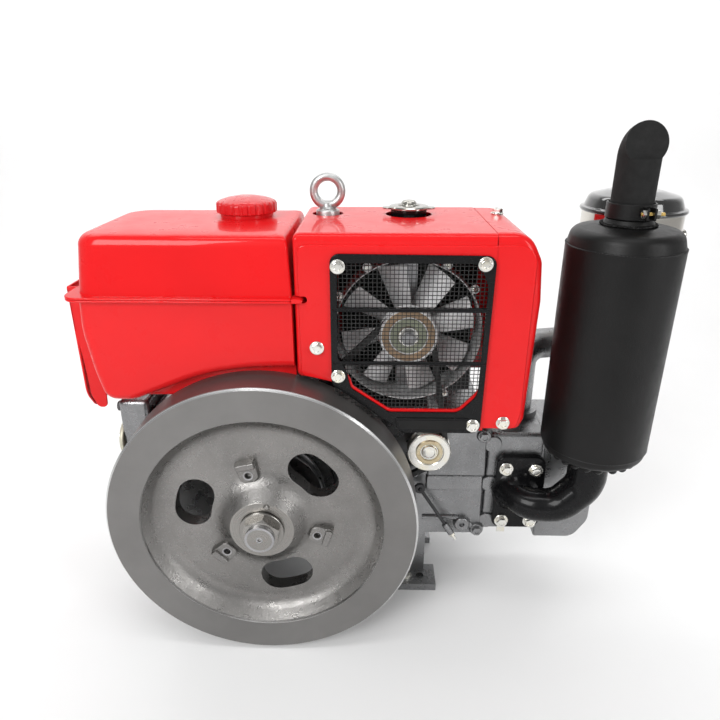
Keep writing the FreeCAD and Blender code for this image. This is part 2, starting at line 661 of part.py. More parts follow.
def make_belt_drive():
    """Fan, fan pulley, idler on its arm, and the belt round all three."""
    middle = "belt_front + belt_width / 2"
    named("fan_pulley", turned(("fan_x", middle, "fan_z"), ALONG_Y,
                               pulley_profile("fan_belt_radius", 8.05, 18)))
    named("idler_pulley", turned(("idler_x", middle, "idler_z"), ALONG_Y,
                                 pulley_profile("idler_belt", 6.05, 18)))
    blades = [rod(("fan_x", -142, "fan_z"), ALONG_Y, 24, 34)]
    for number in range(8):
        blade = Part.makeBox(size("fan_radius") - 20, 2, 46, Vector(20, -1, -23))
        blade.rotate(Vector(), Vector(1, 0, 0), 58)
        blade.rotate(Vector(), Vector(0, 1, 0), 45 * number + 10)
        blade.translate(Vector(size("fan_x"), -125, size("fan_z")))
        blades.append(shaped(blade))
    named("fan", cut(fused(*blades), rod(("fan_x", -180, "fan_z"), ALONG_Y, 8.05, 90)))
    spindle = rod(("fan_x", -178, "fan_z"), ALONG_Y, 8, 76)
    nut = hexagon(("fan_x", -165.5, "fan_z"), TO_FRONT, 19, 9)
    bar = box(("fan_x - 14", -102, "fan_z - 103"), ("fan_x + 14", -97, "fan_z + 103"))
    named("fan_bracket", fused(spindle, nut, bar))
    ring = tube(("fan_x", -148, "fan_z"), ALONG_Y, "shroud_radius + 1.5", "shroud_radius", 55)
    tabs = []
    for degrees in (35, 62, 122, 152, 215, 300):
        turn = math.radians(degrees)
        reach = size("shroud_radius") + 7
        tab_x = size("fan_x") + reach * math.cos(turn)
        tab_z = size("fan_z") + reach * math.sin(turn)
        tabs.append(rod((tab_x, -146, tab_z), ALONG_Y, 6.5, 4))
    cut_ring = cut(fused(ring, *tabs), rod(("fan_x", -150, "fan_z"), ALONG_Y, "shroud_radius", 70),
                   box(("fan_x - 14.5", -103, "fan_z - 120"), ("fan_x + 14.5", -90, "fan_z + 120")))
    named("fan_shroud", cut_ring)
    named("fan_belt", shaped(belt_shape()))
    make_tensioner()


def belt_shape():
    """V-belt round the crank, idler and fan pulleys, as a closed band."""
    centres = [(size("crank_x"), size("crank_z"), size("crank_belt")),
               (size("idler_x"), size("idler_z"), size("idler_belt")),
               (size("fan_x"), size("fan_z"), size("fan_belt_radius"))]

    def touch(number):
        """Direction from a pulley's centre to where the belt leaves it."""
        x, z, radius = centres[number]
        next_x, next_z, next_radius = centres[(number + 1) % 3]
        run = math.atan2(next_z - z, next_x - x)
        return run - math.acos((radius - next_radius) / math.hypot(next_x - x, next_z - z))

    def rim(number, inset, turn):
        """Point of a pulley's belt circle, in a direction."""
        x, z, radius = centres[number % 3]
        return Vector(x + (radius - inset) * math.cos(turn), 0, z + (radius - inset) * math.sin(turn))

    def loop(inset):
        """Face inside the belt's run, a little within its outer edge."""
        edges = []
        for number in range(3):
            before, after = touch((number + 2) % 3), touch(number)
            half = before + (after - before) % (2 * math.pi) / 2
            edges.append(Part.Arc(rim(number, inset, before), rim(number, inset, half),
                                  rim(number, inset, after)).toShape())
            edges.append(Part.LineSegment(rim(number, inset, after),
                                          rim(number + 1, inset, after)).toShape())
        return Part.Face(Part.Wire(edges))
    band = loop(0).cut(loop(size("belt_depth")))
    band.translate(Vector(0, size("belt_front"), 0))
    return band.extrude(Vector(0, size("belt_width"), 0))


def make_tensioner():
    """Arm that carries the idler, and the screw rod that sets it."""
    boss = rod(("arm_x", -141, "arm_z"), ALONG_Y, 12, 10.7)
    head = rod(("idler_x", -141, "idler_z"), ALONG_Y, 12, 5)
    pin = rod(("idler_x", -162, "idler_z"), ALONG_Y, 6, 22)
    across = size("idler_x") - size("arm_x")
    up = size("idler_z") - size("arm_z")
    reach = math.hypot(across, up)
    web = Part.makeBox(reach, 5, 14, Vector(0, -141, -7))
    web.rotate(Vector(), Vector(0, 1, 0), -math.degrees(math.atan2(up, across)))
    web.translate(Vector(size("arm_x"), 0, size("arm_z")))
    named("tension_arm", fused(boss, head, shaped(web), pin))
    steps = [(Vector(186, -146, 238), Vector(223, -146, 180), 4),
             (Vector(223, -146, 180), Vector(238, -146, 155), 7),
             (Vector(238, -146, 155), Vector(250, -146, 136), 4)]
    parts = []
    for start, end, radius in steps:
        run = end - start
        parts.append(shaped(Part.makeCylinder(radius, run.Length, start, run)))
    parts.append(rod((222, -146, 182), ALONG_Y, 6, 16))
    parts.append(rod((190, -146, 231.7), ALONG_Y, 6, 16))
    named("tension_rod", fused(*parts))


# ---------------------------------------------------------------- tank and hood

def make_tank():
    """Fuel tank: two pressings that meet at a flanged seam, and the rear panel."""
    lower = new_body()
    arch_left = size("crank_x") - 154
    lobe_z = size("crank_z") + math.sqrt(size("arch_radius") ** 2 - 154 ** 2)
    start = math.atan2(lobe_z - size("crank_z"), arch_left - size("crank_x"))
    reach_right = size("tank_right") - size("crank_x")
    finish = math.acos(reach_right / size("arch_radius"))
    arch = []
    for step in range(9):
        turn = math.degrees(start + (finish - start) * step / 8)
        arch.append(("crank_x + arch_radius * cos(%g deg)" % turn,
                     "crank_z + arch_radius * sin(%g deg)" % turn))
    left = [("tank_left", "seam_z"), ("tank_left - 1", 500), ("tank_left + 6", 452),
            ("tank_left + 14", 431),
            ("tank_left + 28", 419), ("tank_left + 48", "tank_low"), ("tank_left + 64", 416.5)]
    pad(lower, outline(lower, "XZ_Plane", 178, left + arch + [("tank_right", "seam_z")]), 32)
    deep = left + [("tank_right", "tank_low"), ("tank_right", "seam_z")]
    pad(lower, outline(lower, "XZ_Plane", "-side_back", deep), "178 + side_back")
    lower_hollow = box(("tank_left + 12", "side_front + 4", 480),
                       ("tank_right - 4", "side_back - 4", "seam_z + 1"))
    left_corners = all_of(runs_along(Vector(0, 0, 1)), lambda edge: edge.BoundBox.XMax < -200)
    flange = rounded(seam_plate("seam_z - 2", "seam_z"), 14, left_corners)
    tongue = box(("tank_right - 1", "side_front - 10", "seam_z - 2"), (23, "side_front + 14", "seam_z"))
    named("tank_lower", cut(fused(lower, flange, tongue), lower_hollow))
    shell = box(("tank_left", "side_front", "seam_z"), ("tank_right", "side_back", "tank_top"))
    shell = rounded(shell, 26, left_corners)
    shell = rounded(shell, 14, lambda edge: edge.BoundBox.ZMin > size("tank_top") - 1)
    hollow = box(("tank_left + 26", "side_front + 4", "seam_z - 1"),
                 ("tank_right - 4", "side_back - 4", "tank_top - 6"))
    rim = rounded(seam_plate("seam_z", "seam_z + 3"), 14, left_corners)
    neck = rod(("cap_x", "cap_y", "tank_top - 1"), UPRIGHT, 34, 9)
    hole = rod(("cap_x", "cap_y", "tank_top - 20"), UPRIGHT, 30, 40)
    named("tank_upper", cut(fused(shell, rim, neck), hollow, hole))
    panel = extruded("YZ_Plane", -318, 3,
                     [(-140, 560), (-140, 400), (-118, 362), (20, 362), (40, 400), (40, 560)])
    lip = box((-316, -110, 545), ("tank_left - 15", 10, 560))
    edge = [(-318, 560), (-318, 500), (-313, 450), (-311, 392), (-303, 371), (-289, 371), (-287, 405),
            (-287, 440), (-296, 560)]
    named("rear_panel", fused(panel, lip, extruded("XZ_Plane", 140, 3, edge)))
    cap = turned(("cap_x", "cap_y", "tank_top + 0.4"), UPRIGHT,
                 [(34.4, 0), (38, 0), (38, 5), ("cap_radius - 2", 7), ("cap_radius", 21),
                  ("cap_radius - 4", 25), (0, 29.6), (0, 9), (34.4, 9)])
    named("fuel_cap", cap)


def seam_plate(low, high):
    """Plate of the seam's flange, between two heights."""
    return box(("tank_left - 15", "side_front - 10", low), ("tank_right", "side_back + 8", high))


def window_corners():
    """Outline of the air inlet, the same in the hood and in its grille."""
    return [(66, 484), (77, 466), (83, 440), (135, 404), (231, 404), (255, 430), (258, 583), (245, 612),
            (66, 612)]


def make_hood():
    """Hood with its window, and the end cover beside it."""
    outer = [("hood_left", 453), (54, 444), (157, "hood_low"), ("hood_right", "hood_low"),
             ("hood_right", "hood_top"), ("hood_left", "hood_top")]
    body = extruded("XZ_Plane", "-side_back", "side_back - side_front", outer)
    inner = [("hood_left + sheet", 300), ("hood_right + 1", 300), ("hood_right + 1", "hood_top - sheet"),
             ("hood_left + sheet", "hood_top - sheet")]
    hollow = extruded("XZ_Plane", "-side_back + sheet", "side_back - side_front - 2 * sheet", inner)
    window = extruded("XZ_Plane", "-side_front - 10", 30, window_corners())
    vents = [box((75, "side_back - 10", low), (252, "side_back + 10", low + 16))
             for low in range(412, 600, 24)]
    notch = box(("hood_left - 5", "side_front - 5", "seam_z - 4"), (27, "side_front + 20", "seam_z + 4"))
    eye = rod(("eye_x", "eye_y", "hood_top - 10"), UPRIGHT, 22, 20)
    neck = rod(("neck_x", "neck_y", "hood_top - 10"), UPRIGHT, 33.5, 20)
    named("hood", cut(body, hollow, window, notch, eye, neck, *vents))
    outer = [("hood_right + 0.5", "hood_low"), (316, "hood_low"), (323, 384), (330, 562), (322, 620),
             (305, "hood_top - 6"), (285, "hood_top"), ("hood_right + 0.5", "hood_top")]
    cover = extruded("XZ_Plane", "-side_back + 2", "side_back - side_front - 6", outer)
    rounding(cover, 6, lambda edge: edge.BoundBox.XMin > 300 and edge.BoundBox.YLength < 0.1)
    inner = [("hood_right - 1", "hood_low - 5"), (312, "hood_low - 5"), (319, 384), (326, 560), (318, 617),
             (303, "hood_top - 9"), (284, "hood_top - 3"), ("hood_right - 1", "hood_top - 3")]
    hollow = extruded("XZ_Plane", "-side_back + 5", "side_back - side_front - 12", inner)
    named("end_cover", cut(cover, hollow))


def make_grille():
    """Grille frame with two bars and a blank plate, and the mesh behind it."""
    front = "side_front - 4"
    outer = [(56, 444), (157, 371), (262, 371), (262, 624), (56, 624)]
    frame = extruded("XZ_Plane", "-side_front", 4, outer)
    rounding(frame, 8, runs_along(Vector(0, 1, 0)))
    frame = cut(frame, extruded("XZ_Plane", "-side_front - 10", 30, window_corners()))
    bars = [rod((60, front, height), ALONG_X, 3, 198) for height in (551, 477)]
    plate = box((149, "%s - 1.5" % front, 373), (244, front, 396))
    named("grille_frame", fused(frame, plate, *bars))
    named("grille_mesh", extruded("XZ_Plane", "-side_front - sheet - 1.2", 1,
                                  [(60, 484), (70, 440), (128, 392), (262, 392), (262, 616), (60, 616)]))


def make_radiator():
    """Radiator core with its tanks and filler neck, and the neck's cap."""
    core = box((72, -88, 402), (256, -20, 588))
    top = rounded(box((66, -92, 588), (260, -16, 632)), 8, runs_along(Vector(1, 0, 0)))
    bottom = box((66, -92, 380), (260, -16, 402))
    neck = rod(("neck_x", "neck_y", 630), UPRIGHT, 24, 25)
    bore = rod(("neck_x", "neck_y", 612), UPRIGHT, 17, 50)
    named("radiator", cut(fused(core, top, bottom, neck), bore))
    disc = turned(("neck_x", "neck_y", 655.4), UPRIGHT,
                  [(0, 0), (29, 0), (29, 3), (25, 6), (14, 7), (12, 12), (5, 13), (0, 13)])
    ears = box(("neck_x - 39", "neck_y - 8", 655.4), ("neck_x + 39", "neck_y + 8", 658.4))
    ears = rounded(ears, 7.5, runs_along(Vector(0, 0, 1)))
    named("radiator_cap", fused(disc, ears))


def make_lifting_eye():
    """Eye bolt on a post that rises from the crankcase."""
    post = rod(("eye_x", "eye_y", "case_top"), UPRIGHT, 12, "hood_top - case_top - 8")
    collar = rod(("eye_x", "eye_y", "hood_top - 8"), UPRIGHT, 17, 16)
    ring = doc.addObject("Part::Torus", "Torus")
    ring.setExpression("Radius1", "20 mm")
    ring.setExpression("Radius2", "6 mm")
    place(ring, ("eye_x", "eye_y", "hood_top + 32"), TO_FRONT)
    named("lifting_eye", fused(post, collar, ring))


# ---------------------------------------------------------------- exhaust and intake

def make_exhaust():
    """Flanged elbow, muffler, clamp and outlet elbow."""
    foot = Vector(size("deck_x") + 48, size("head_front"), 215)
    flange = rounded(box((308, "head_front - 12", 153), (384, "head_front", 281)), 14,
                     runs_along(Vector(0, 1, 0)))
    top = (size("muffler_x"), size("muffler_y"), size("muffler_low"))
    below = Vector(size("muffler_x"), size("muffler_y"), foot.z)
    elbow = bent_tube([foot, (foot.x, below.y, foot.z), below, top], 26, 32, 3)
    bore = rod((foot.x, "head_front - 14", 215), ALONG_Y, 22.5, 16)
    named("exhaust_elbow", fused(cut(flange, bore), shaped(elbow)))
    height = "muffler_high - muffler_low"
    shell = turned(("muffler_x", "muffler_y", "muffler_low"), UPRIGHT,
                   [(0, 0), (30, 0), (30, 3), (60, 4), ("muffler_radius - 3", 12), ("muffler_radius", 24),
                    ("muffler_radius", height), ("muffler_radius - 8", height + " + 14"),
                    (45, height + " + 22"), ("outlet_radius", height + " + 24"),
                    ("outlet_radius", height + " + 34"), (0, height + " + 34")])
    chamber = rod(("muffler_x", "muffler_y", "muffler_low + 26"), UPRIGHT,
                  "muffler_radius - 3", height + " - 26")
    way_in = rod(("muffler_x", "muffler_y", "muffler_low - 1"), UPRIGHT, 25, 60)
    way_out = rod(("muffler_x", "muffler_y", "muffler_high - 10"), UPRIGHT, "outlet_radius - 2.5", 60)
    named("muffler", cut(shell, chamber, way_in, way_out))
    start = size("muffler_high") + 34
    mouth_z = size("mouth_z")
    pipe = bent_tube([(size("muffler_x"), size("muffler_y"), start),
                      (size("muffler_x"), size("muffler_y"), mouth_z),
                      (size("muffler_x"), size("muffler_y") - 36, mouth_z)], size("outlet_radius"), 34, 2.5)
    named("outlet_elbow", shaped(pipe))
    band = tube(("muffler_x", "muffler_y", start), UPRIGHT, "outlet_radius + 3", "outlet_radius + 0.2", 20)
    ears = box(("muffler_x + 6", "muffler_y - outlet_radius - 14", start + 2),
               ("muffler_x + 22", "muffler_y - outlet_radius + 4", start + 18))
    band_bore = rod(("muffler_x", "muffler_y", start - 1), UPRIGHT, "outlet_radius + 0.2", 30)
    band = cut(fused(band, ears), band_bore)
    named("outlet_clamp", band)


def make_intake():
    """Air cleaner bowl and lid, and the elbow from it to the head."""
    base = "cleaner_top - 150"
    bowl = turned(("cleaner_x", "cleaner_y", base), UPRIGHT,
                  [(0, 0), ("cleaner_radius - 14", 0), ("cleaner_radius", 14), ("cleaner_radius", 146),
                   (0, 146)])
    clip = rod(("cleaner_x + cleaner_radius - 2", "cleaner_y", "cleaner_top - 40"), ALONG_X, 6, 16)
    chamber = rod(("cleaner_x", "cleaner_y", base + " + 16"), UPRIGHT, "cleaner_radius - 3", 160)
    outlet = rod(("cleaner_x", "cleaner_y", base + " - 1"), UPRIGHT, 21, 20)
    named("air_cleaner_bowl", fused(cut(bowl, chamber, outlet), clip))
    named("air_cleaner_lid", turned(("cleaner_x", "cleaner_y", "cleaner_top - 4"), UPRIGHT,
                                    [(0, 0), ("cleaner_radius + 4", 0), ("cleaner_radius + 4", 5),
                                     ("cleaner_radius - 3", 9), ("cleaner_radius - 10", 22),
                                     ("cleaner_radius - 28", 30), (0, 33)]))
    x, y = size("deck_x") + 60, size("cylinder_y")
    route = [(x, y, size("head_high")), (x, y, 440), (size("cleaner_x"), size("cleaner_y"), 440),
             (size("cleaner_x"), size("cleaner_y"), size("cleaner_top") - 150)]
    pipe = shaped(bent_tube(route, 24, 30, 3))
    flange = tube((x, y, "head_high"), UPRIGHT, 34, 21, 10)
    named("intake_elbow", cut(fused(pipe, flange), rod((x, y, "head_high - 1"), UPRIGHT, 21, 20)))


# ---------------------------------------------------------------- fuel, oil and controls

def make_fuel_system():
    """Injection pump, injector with its pipe, and the fuel filter."""
    high = "case_back + gear_depth"
    pump = fused(rod((196, high, 372), ALONG_Y, 24, 12),
                 box((176, "%s + 12" % high, 350), (216, "%s + 48" % high, 400)),
                 rod((196, "%s + 30" % high, 400), UPRIGHT, 9, 22))
    named("injection_pump", pump)
    injector_x = size("deck_x") + 28
    named("injector", fused(rod((injector_x, 12, "head_high - 60"), UPRIGHT, 8.9, 108),
                            hexagon((injector_x, 12, "head_high"), UPRIGHT, 24, 12),
                            hexagon((injector_x, 12, "head_high + 34"), UPRIGHT, 20, 10)))
    back = size("case_back") + size("gear_depth") + 30
    top = size("head_high") + 30
    route = [(196, back, 422), (196, back, 462), (310, 70, 420), (injector_x, 54, top),
             (injector_x, 20, top)]
    named("injection_pipe", shaped(bent_tube(route, 3.2, 14)))
    bracket = box((-128, "side_back", 506), (-92, 29, 528))
    cup = turned((-110, 54, 446), UPRIGHT,
                 [(0, 0), (20, 4), (24, 10), (24, 56), (30, 58), (30, 76), (0, 76)])
    named("fuel_filter", fused(bracket, box((-128, 28, 508), (-92, 44, 522)), cup))


def make_controls():
    """Speed lever, decompression lever, dipstick and drain plug."""
    high = size("case_back") + size("gear_depth")
    pivot = rod((160, high - 9, 150), ALONG_Y, 6, 30)
    arm = box((153, high + 13, 150), (167, high + 19, 232))
    knob = rod((160, high + 8, 236), ALONG_Y, 11, 26)
    hub = rod((160, high + 9, 150), ALONG_Y, 12, 10)
    named("speed_lever", fused(pivot, arm, knob, hub))
    x = size("deck_x") + 1.5 + size("head_length") + 88 - 30
    y = size("head_back") - 30
    top = size("head_high") - 14
    named("decompression_lever", fused(rod((x, y, top - 16), UPRIGHT, 6, 30),
                                       rod((x, y, top + 0.5), UPRIGHT, 11, 9),
                                       box((x - 6, y, top + 9.5), (x + 6, y + 48, top + 14))))
    dip_x, dip_y = size("case_left") + 70, size("case_back") + 34
    named("dipstick", fused(rod((dip_x, dip_y, 445), UPRIGHT, 17, 8),
                            rod((dip_x, dip_y, 453), UPRIGHT, 11, 10),
                            rod((dip_x, dip_y, 432), UPRIGHT, 10.2, 14)))
    named("drain_plug", fused(rod(("case_left + 150", -65, 62), TO_FRONT, 13, 3),
                              hexagon(("case_left + 150", -68, 62), TO_FRONT, 19, 10)))


def make_valve_gear():
    """Closed valves, and the rocker arms on their shaft."""
    end = "deck_x + 1.5 + head_length"
    start = "deck_x + 3"
    valves = []
    rockers = []
    for shift, seat in ((26, 24.8), (-28, 21.8)):
        at_z = "crank_z + %d" % shift
        valves.append(fused(rod((start, "cylinder_y", at_z), ALONG_X, seat, 5),
                            rod((start, "cylinder_y", at_z), ALONG_X, 5, "head_length + 34")))
        rockers.append(box(("%s + 38" % end, "cylinder_y - 8", at_z),
                           ("%s + 52" % end, "cylinder_y + 8", at_z + " + 8")))
    named("valves", gathered(*valves))
    shaft = rod(("%s + 45" % end, "cylinder_y", "crank_z - 60"), UPRIGHT, 7, 120)
    named("rocker_arms", fused(shaft, *rockers))


def make_bolts():
    """Flange bolts of the covers, the grille, the exhaust flange and the hood."""
    group = []
    for x, z in ((67, 608), (252, 612), (66, 458), (251, 385)):
        group.append(bolt((x, "side_front - 4", z), TO_FRONT, 13, 9, 6, 4, 0.5))
    for x, z in ((38, 497), (294, 386)):
        front = "side_front" if x < 200 else "side_front + 4"
        group.append(bolt((x, front, z), TO_FRONT, 13, 9, 6, 4, 0.5))
    group.append(bolt((292, -55, "hood_top"), UPRIGHT, 13, 9, 6, 4, 0.5))
    for x, z in ((324, 266), (370, 264), (324, 168), (370, 168)):
        group.append(bolt((x, "head_front - 12", z), TO_FRONT, 16, 11, 8, 5, 0.5))
    for number in range(6):
        turn = math.radians(60 * number + 30)
        bolt_x = size("crank_x") + 89 * math.cos(turn)
        bolt_z = size("crank_z") + 89 * math.sin(turn)
        at = (bolt_x, "case_front - 10", bolt_z)
        group.append(bolt(at, TO_FRONT, 8, 6, 3, 3, 0.5))
    named("flange_bolts", gathered(*group))


def write_parts():
    """Check every object and sub-part, then write one STEP file for each sub-part."""
    doc.recompute()
    failed = [item.Label for item in doc.Objects if {"Invalid", "Error"} & set(item.State)]
    if failed:
        raise RuntimeError("failed objects: " + ", ".join(failed))
    for item in pieces:
        if item.Shape.isNull() or not item.Shape.isValid():
            raise RuntimeError("bad shape: " + item.Label)
    os.makedirs("parts", exist_ok=True)
    for item in pieces:
        item.Shape.exportStep("parts/%s.step" % item.Label)


cam_x, cam_z = make_crankcase()
make_cylinder()
make_gear_case(cam_x, cam_z)
make_bearing_cover()
make_feet()
make_flywheel()
make_crank()
make_piston()
make_gear_train(cam_x, cam_z)
make_belt_drive()
make_tank()
make_hood()
make_grille()
make_radiator()
make_lifting_eye()
make_exhaust()
make_intake()
make_fuel_system()
make_controls()
make_valve_gear()
make_bolts()
write_parts()
print(len(pieces), "sub-parts written")
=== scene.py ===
import json
import math
import random

import bmesh
import bpy
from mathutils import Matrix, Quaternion, Vector


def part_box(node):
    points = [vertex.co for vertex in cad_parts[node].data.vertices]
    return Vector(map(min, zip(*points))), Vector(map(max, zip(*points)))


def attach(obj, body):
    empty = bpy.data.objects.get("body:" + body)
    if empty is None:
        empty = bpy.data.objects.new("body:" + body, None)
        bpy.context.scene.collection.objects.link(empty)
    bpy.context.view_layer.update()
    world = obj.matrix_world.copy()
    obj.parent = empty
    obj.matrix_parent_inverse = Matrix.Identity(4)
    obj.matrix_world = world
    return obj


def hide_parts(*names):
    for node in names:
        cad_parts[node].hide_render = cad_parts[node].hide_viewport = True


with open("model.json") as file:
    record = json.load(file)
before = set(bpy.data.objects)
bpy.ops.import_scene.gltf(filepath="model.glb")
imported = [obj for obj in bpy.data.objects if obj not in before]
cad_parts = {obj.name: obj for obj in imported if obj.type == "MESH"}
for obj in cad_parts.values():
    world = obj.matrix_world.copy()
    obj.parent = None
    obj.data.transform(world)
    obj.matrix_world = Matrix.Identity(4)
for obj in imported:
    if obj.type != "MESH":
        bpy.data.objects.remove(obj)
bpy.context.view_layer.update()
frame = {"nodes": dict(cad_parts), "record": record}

MM = 0.001
random.seed(7)


# ------------------------------------------------------------------ places, read from the frame (mm)

def low(node):
    """Lowest corner of a CAD node."""
    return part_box(node)[0] / MM


def high(node):
    """Highest corner of a CAD node."""
    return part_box(node)[1] / MM


def middle(node):
    """Middle of a CAD node's box."""
    return (low(node) + high(node)) / 2


CRANK = middle("flywheel")
WHEEL_FRONT = low("flywheel").y
WHEEL_RADIUS = (high("flywheel").z - low("flywheel").z) / 2
SIDE_FRONT = low("hood").y
SIDE_BACK = high("hood").y
HOOD_LEFT, HOOD_RIGHT = low("hood").x, high("hood").x
HOOD_LOW, HOOD_TOP = low("hood").z, high("hood").z
TANK_LEFT = low("tank_lower").x + 15
TANK_RIGHT = high("tank_upper").x
TANK_LOW = low("tank_lower").z
SEAM = high("tank_lower").z
TANK_TOP = high("tank_upper").z - 8
CAP = middle("fuel_cap")
FAN = middle("fan_pulley")
IDLER = middle("idler_pulley")
MUFFLER = middle("muffler")
MUFFLER_RADIUS = (high("muffler").x - low("muffler").x) / 2
CLEANER = middle("air_cleaner_lid")
HUB_FACE = Vector((CRANK.x, WHEEL_FRONT, CRANK.z))

# M8 flange bolt: width across the flats, radius of the washer, height of the head
FLANGE_BOLT = (13, 9.5, 5.5)
ALONG = {"x": Vector((1, 0, 0)), "y": Vector((0, 1, 0)), "z": Vector((0, 0, 1)), "-y": Vector((0, -1, 0)),
         "-x": Vector((-1, 0, 0))}


# ------------------------------------------------------------------ materials

class Nodes:
    """A material's node tree, with short calls for the nodes used here."""

    def __init__(self, name):
        self.material = bpy.data.materials.new(name)
        self.material.use_nodes = True
        self.tree = self.material.node_tree
        self.shader = self.tree.nodes["Principled BSDF"]
        self.place = self.tree.nodes.new("ShaderNodeTexCoord").outputs["Object"]

    def join(self, source, target):
        self.tree.links.new(source, target)

    def add(self, kind, **inputs):
        """Add a node; its inputs are named with _ for a space."""
        node = self.tree.nodes.new("ShaderNode" + kind)
        for name, value in inputs.items():
            node.inputs[name.replace("_", " ")].default_value = value
        return node

    def noise(self, scale, detail=4.0, rough=0.55, stretch=None):
        node = self.add("TexNoise", Scale=scale, Detail=detail, Roughness=rough)
        place = self.place
        if stretch:
            mapping = self.add("Mapping", Scale=stretch)
            self.join(place, mapping.inputs["Vector"])
            place = mapping.outputs["Vector"]
        self.join(place, node.inputs["Vector"])
        return node.outputs["Fac"]

    def ramp(self, value, stops):
        node = self.add("ValToRGB")
        while len(node.color_ramp.elements) < len(stops):
            node.color_ramp.elements.new(0.5)
        for element, (place, colour) in zip(node.color_ramp.elements, stops):
            element.position = place
            element.color = (*colour, 1)
        self.join(value, node.inputs["Fac"])
        return node.outputs["Color"]

    def range(self, value, start, end, low_in=0.3, high_in=0.7):
        node = self.add("MapRange", From_Min=low_in, From_Max=high_in, To_Min=start, To_Max=end)
        self.join(value, node.inputs["Value"])
        return node.outputs["Result"]

    def mix(self, share, first, second):
        node = self.add("Mix")
        node.data_type = "RGBA"
        self.join(share, node.inputs["Factor"])
        for socket, value in ((6, first), (7, second)):
            if isinstance(value, tuple):
                node.inputs[socket].default_value = (*value, 1)
            else:
                self.join(value, node.inputs[socket])
        return node.outputs[2]

    def edge_share(self, start=0.52, end=0.6):
        geometry = self.add("NewGeometry")
        return self.range(geometry.outputs["Pointiness"], 0, 1, start, end)

    def bump(self, value, strength, distance=0.001):
        node = self.add("Bump", Strength=strength, Distance=distance)
        self.join(value, node.inputs["Height"])
        self.join(node.outputs["Normal"], self.shader.inputs["Normal"])

    def set(self, **values):
        for name, value in values.items():
            self.shader.inputs[name.replace("_", " ")].default_value = value


def shade(colour, factor):
    return tuple(min(1.0, part * factor) for part in colour)


def finish_of(name, colour, rough, metal=0.0, coat=0.0, coat_rough=0.08, mottle=0.10, mottle_scale=18.0,
              grain=0.0, grain_scale=500.0, rough_change=0.08, edge=None, stretch=None, tint=None, shine=0.5):
    """Procedural finish: mottled colour, uneven roughness, grain in the normal, optional paler edges."""
    nodes = Nodes(name)
    patch = nodes.noise(mottle_scale, 5)
    second = tint or shade(colour, 1 + mottle)
    tone = nodes.ramp(patch, [(0.32, shade(colour, 1 - mottle)), (0.5, colour), (0.7, second)])
    if edge:
        tone = nodes.mix(nodes.edge_share(), tone, edge)
    nodes.join(tone, nodes.shader.inputs["Base Color"])
    uneven = nodes.noise(mottle_scale * 4.3, 6, 0.65, stretch)
    nodes.join(nodes.range(uneven, max(0.03, rough - rough_change), min(1.0, rough + rough_change)),
               nodes.shader.inputs["Roughness"])
    if grain:
        nodes.bump(nodes.noise(grain_scale, 3, 0.6, stretch), grain)
    nodes.set(Metallic=metal, Coat_Weight=coat, Coat_Roughness=coat_rough, Specular_IOR_Level=shine)
    return nodes.material


def turned_finish(name, colour, rough, centre, axis, pitch, metal, strength):
    """Machined finish with fine turning marks in rings about a centre line."""
    nodes = Nodes(name)
    flat = [0.0 if letter == axis else 1.0 for letter in "xyz"]
    shift = [-value * MM * keep for value, keep in zip(centre, flat)]
    mapping = nodes.add("Mapping", Scale=flat, Location=shift)
    nodes.join(nodes.place, mapping.inputs["Vector"])
    length = nodes.add("VectorMath")
    length.operation = "LENGTH"
    nodes.join(mapping.outputs["Vector"], length.inputs[0])
    rings = nodes.add("TexNoise", Scale=pitch, Detail=2)
    rings.noise_dimensions = "1D"
    nodes.join(length.outputs["Value"], rings.inputs["W"])
    patch = nodes.noise(14, 5)
    tone = nodes.ramp(patch, [(0.3, shade(colour, 0.92)), (0.7, shade(colour, 1.08))])
    nodes.join(tone, nodes.shader.inputs["Base Color"])
    nodes.join(nodes.range(rings.outputs["Fac"], rough - 0.06, rough + 0.08),
               nodes.shader.inputs["Roughness"])
    nodes.bump(rings.outputs["Fac"], strength, 0.0003)
    nodes.set(Metallic=metal)
    return nodes.material


def casting_finish(name, colour, rough=0.5, metal=0.55, strength=0.5, scale=420.0):
    """Silver-painted sand casting: coarse grain, sparkle and tone that varies at random."""
    nodes = Nodes(name)
    patch = nodes.noise(9, 6)
    tone = nodes.ramp(patch, [(0.3, shade(colour, 0.8)), (0.52, colour), (0.72, shade(colour, 1.16))])
    sparkle = nodes.range(nodes.noise(scale * 2.2, 1), 0, 0.5, 0.62, 0.74)
    tone = nodes.mix(sparkle, tone, shade(colour, 1.9))
    nodes.join(tone, nodes.shader.inputs["Base Color"])
    nodes.join(nodes.range(nodes.noise(60, 4), rough - 0.1, rough + 0.12), nodes.shader.inputs["Roughness"])
    nodes.bump(nodes.noise(scale, 3, 0.7), strength, 0.0006)
    nodes.set(Metallic=metal)
    return nodes.material


RED = finish_of("red_enamel", (0.70, 0.010, 0.012), 0.3, coat=0.4, coat_rough=0.03, mottle=0.05,
                mottle_scale=5,
                grain=0.035, grain_scale=95, rough_change=0.05, shine=0.06)
CAP_RED = finish_of("cap_red", (0.60, 0.01, 0.014), 0.3, coat=0.4, coat_rough=0.12, mottle=0.08, grain=0.05,
                    grain_scale=260, shine=0.25)
BLACK = finish_of("black_enamel", (0.005, 0.005, 0.0055), 0.26, coat=0.16, coat_rough=0.06, mottle=0.2,
                  grain=0.05, grain_scale=180, shine=0.12)
SATIN = finish_of("muffler_black", (0.005, 0.0048, 0.0048), 0.4, mottle=0.25, mottle_scale=12, grain=0.22,
                  grain_scale=700, rough_change=0.07, shine=0.26)
GLOSS = finish_of("lid_black", (0.006, 0.006, 0.006), 0.12, coat=1.0, coat_rough=0.03, mottle=0.2, grain=0.02,
                  grain_scale=60, rough_change=0.04)
WIRE = finish_of("wire_black", (0.012, 0.012, 0.012), 0.45, mottle=0.3, mottle_scale=60, grain=0.1)
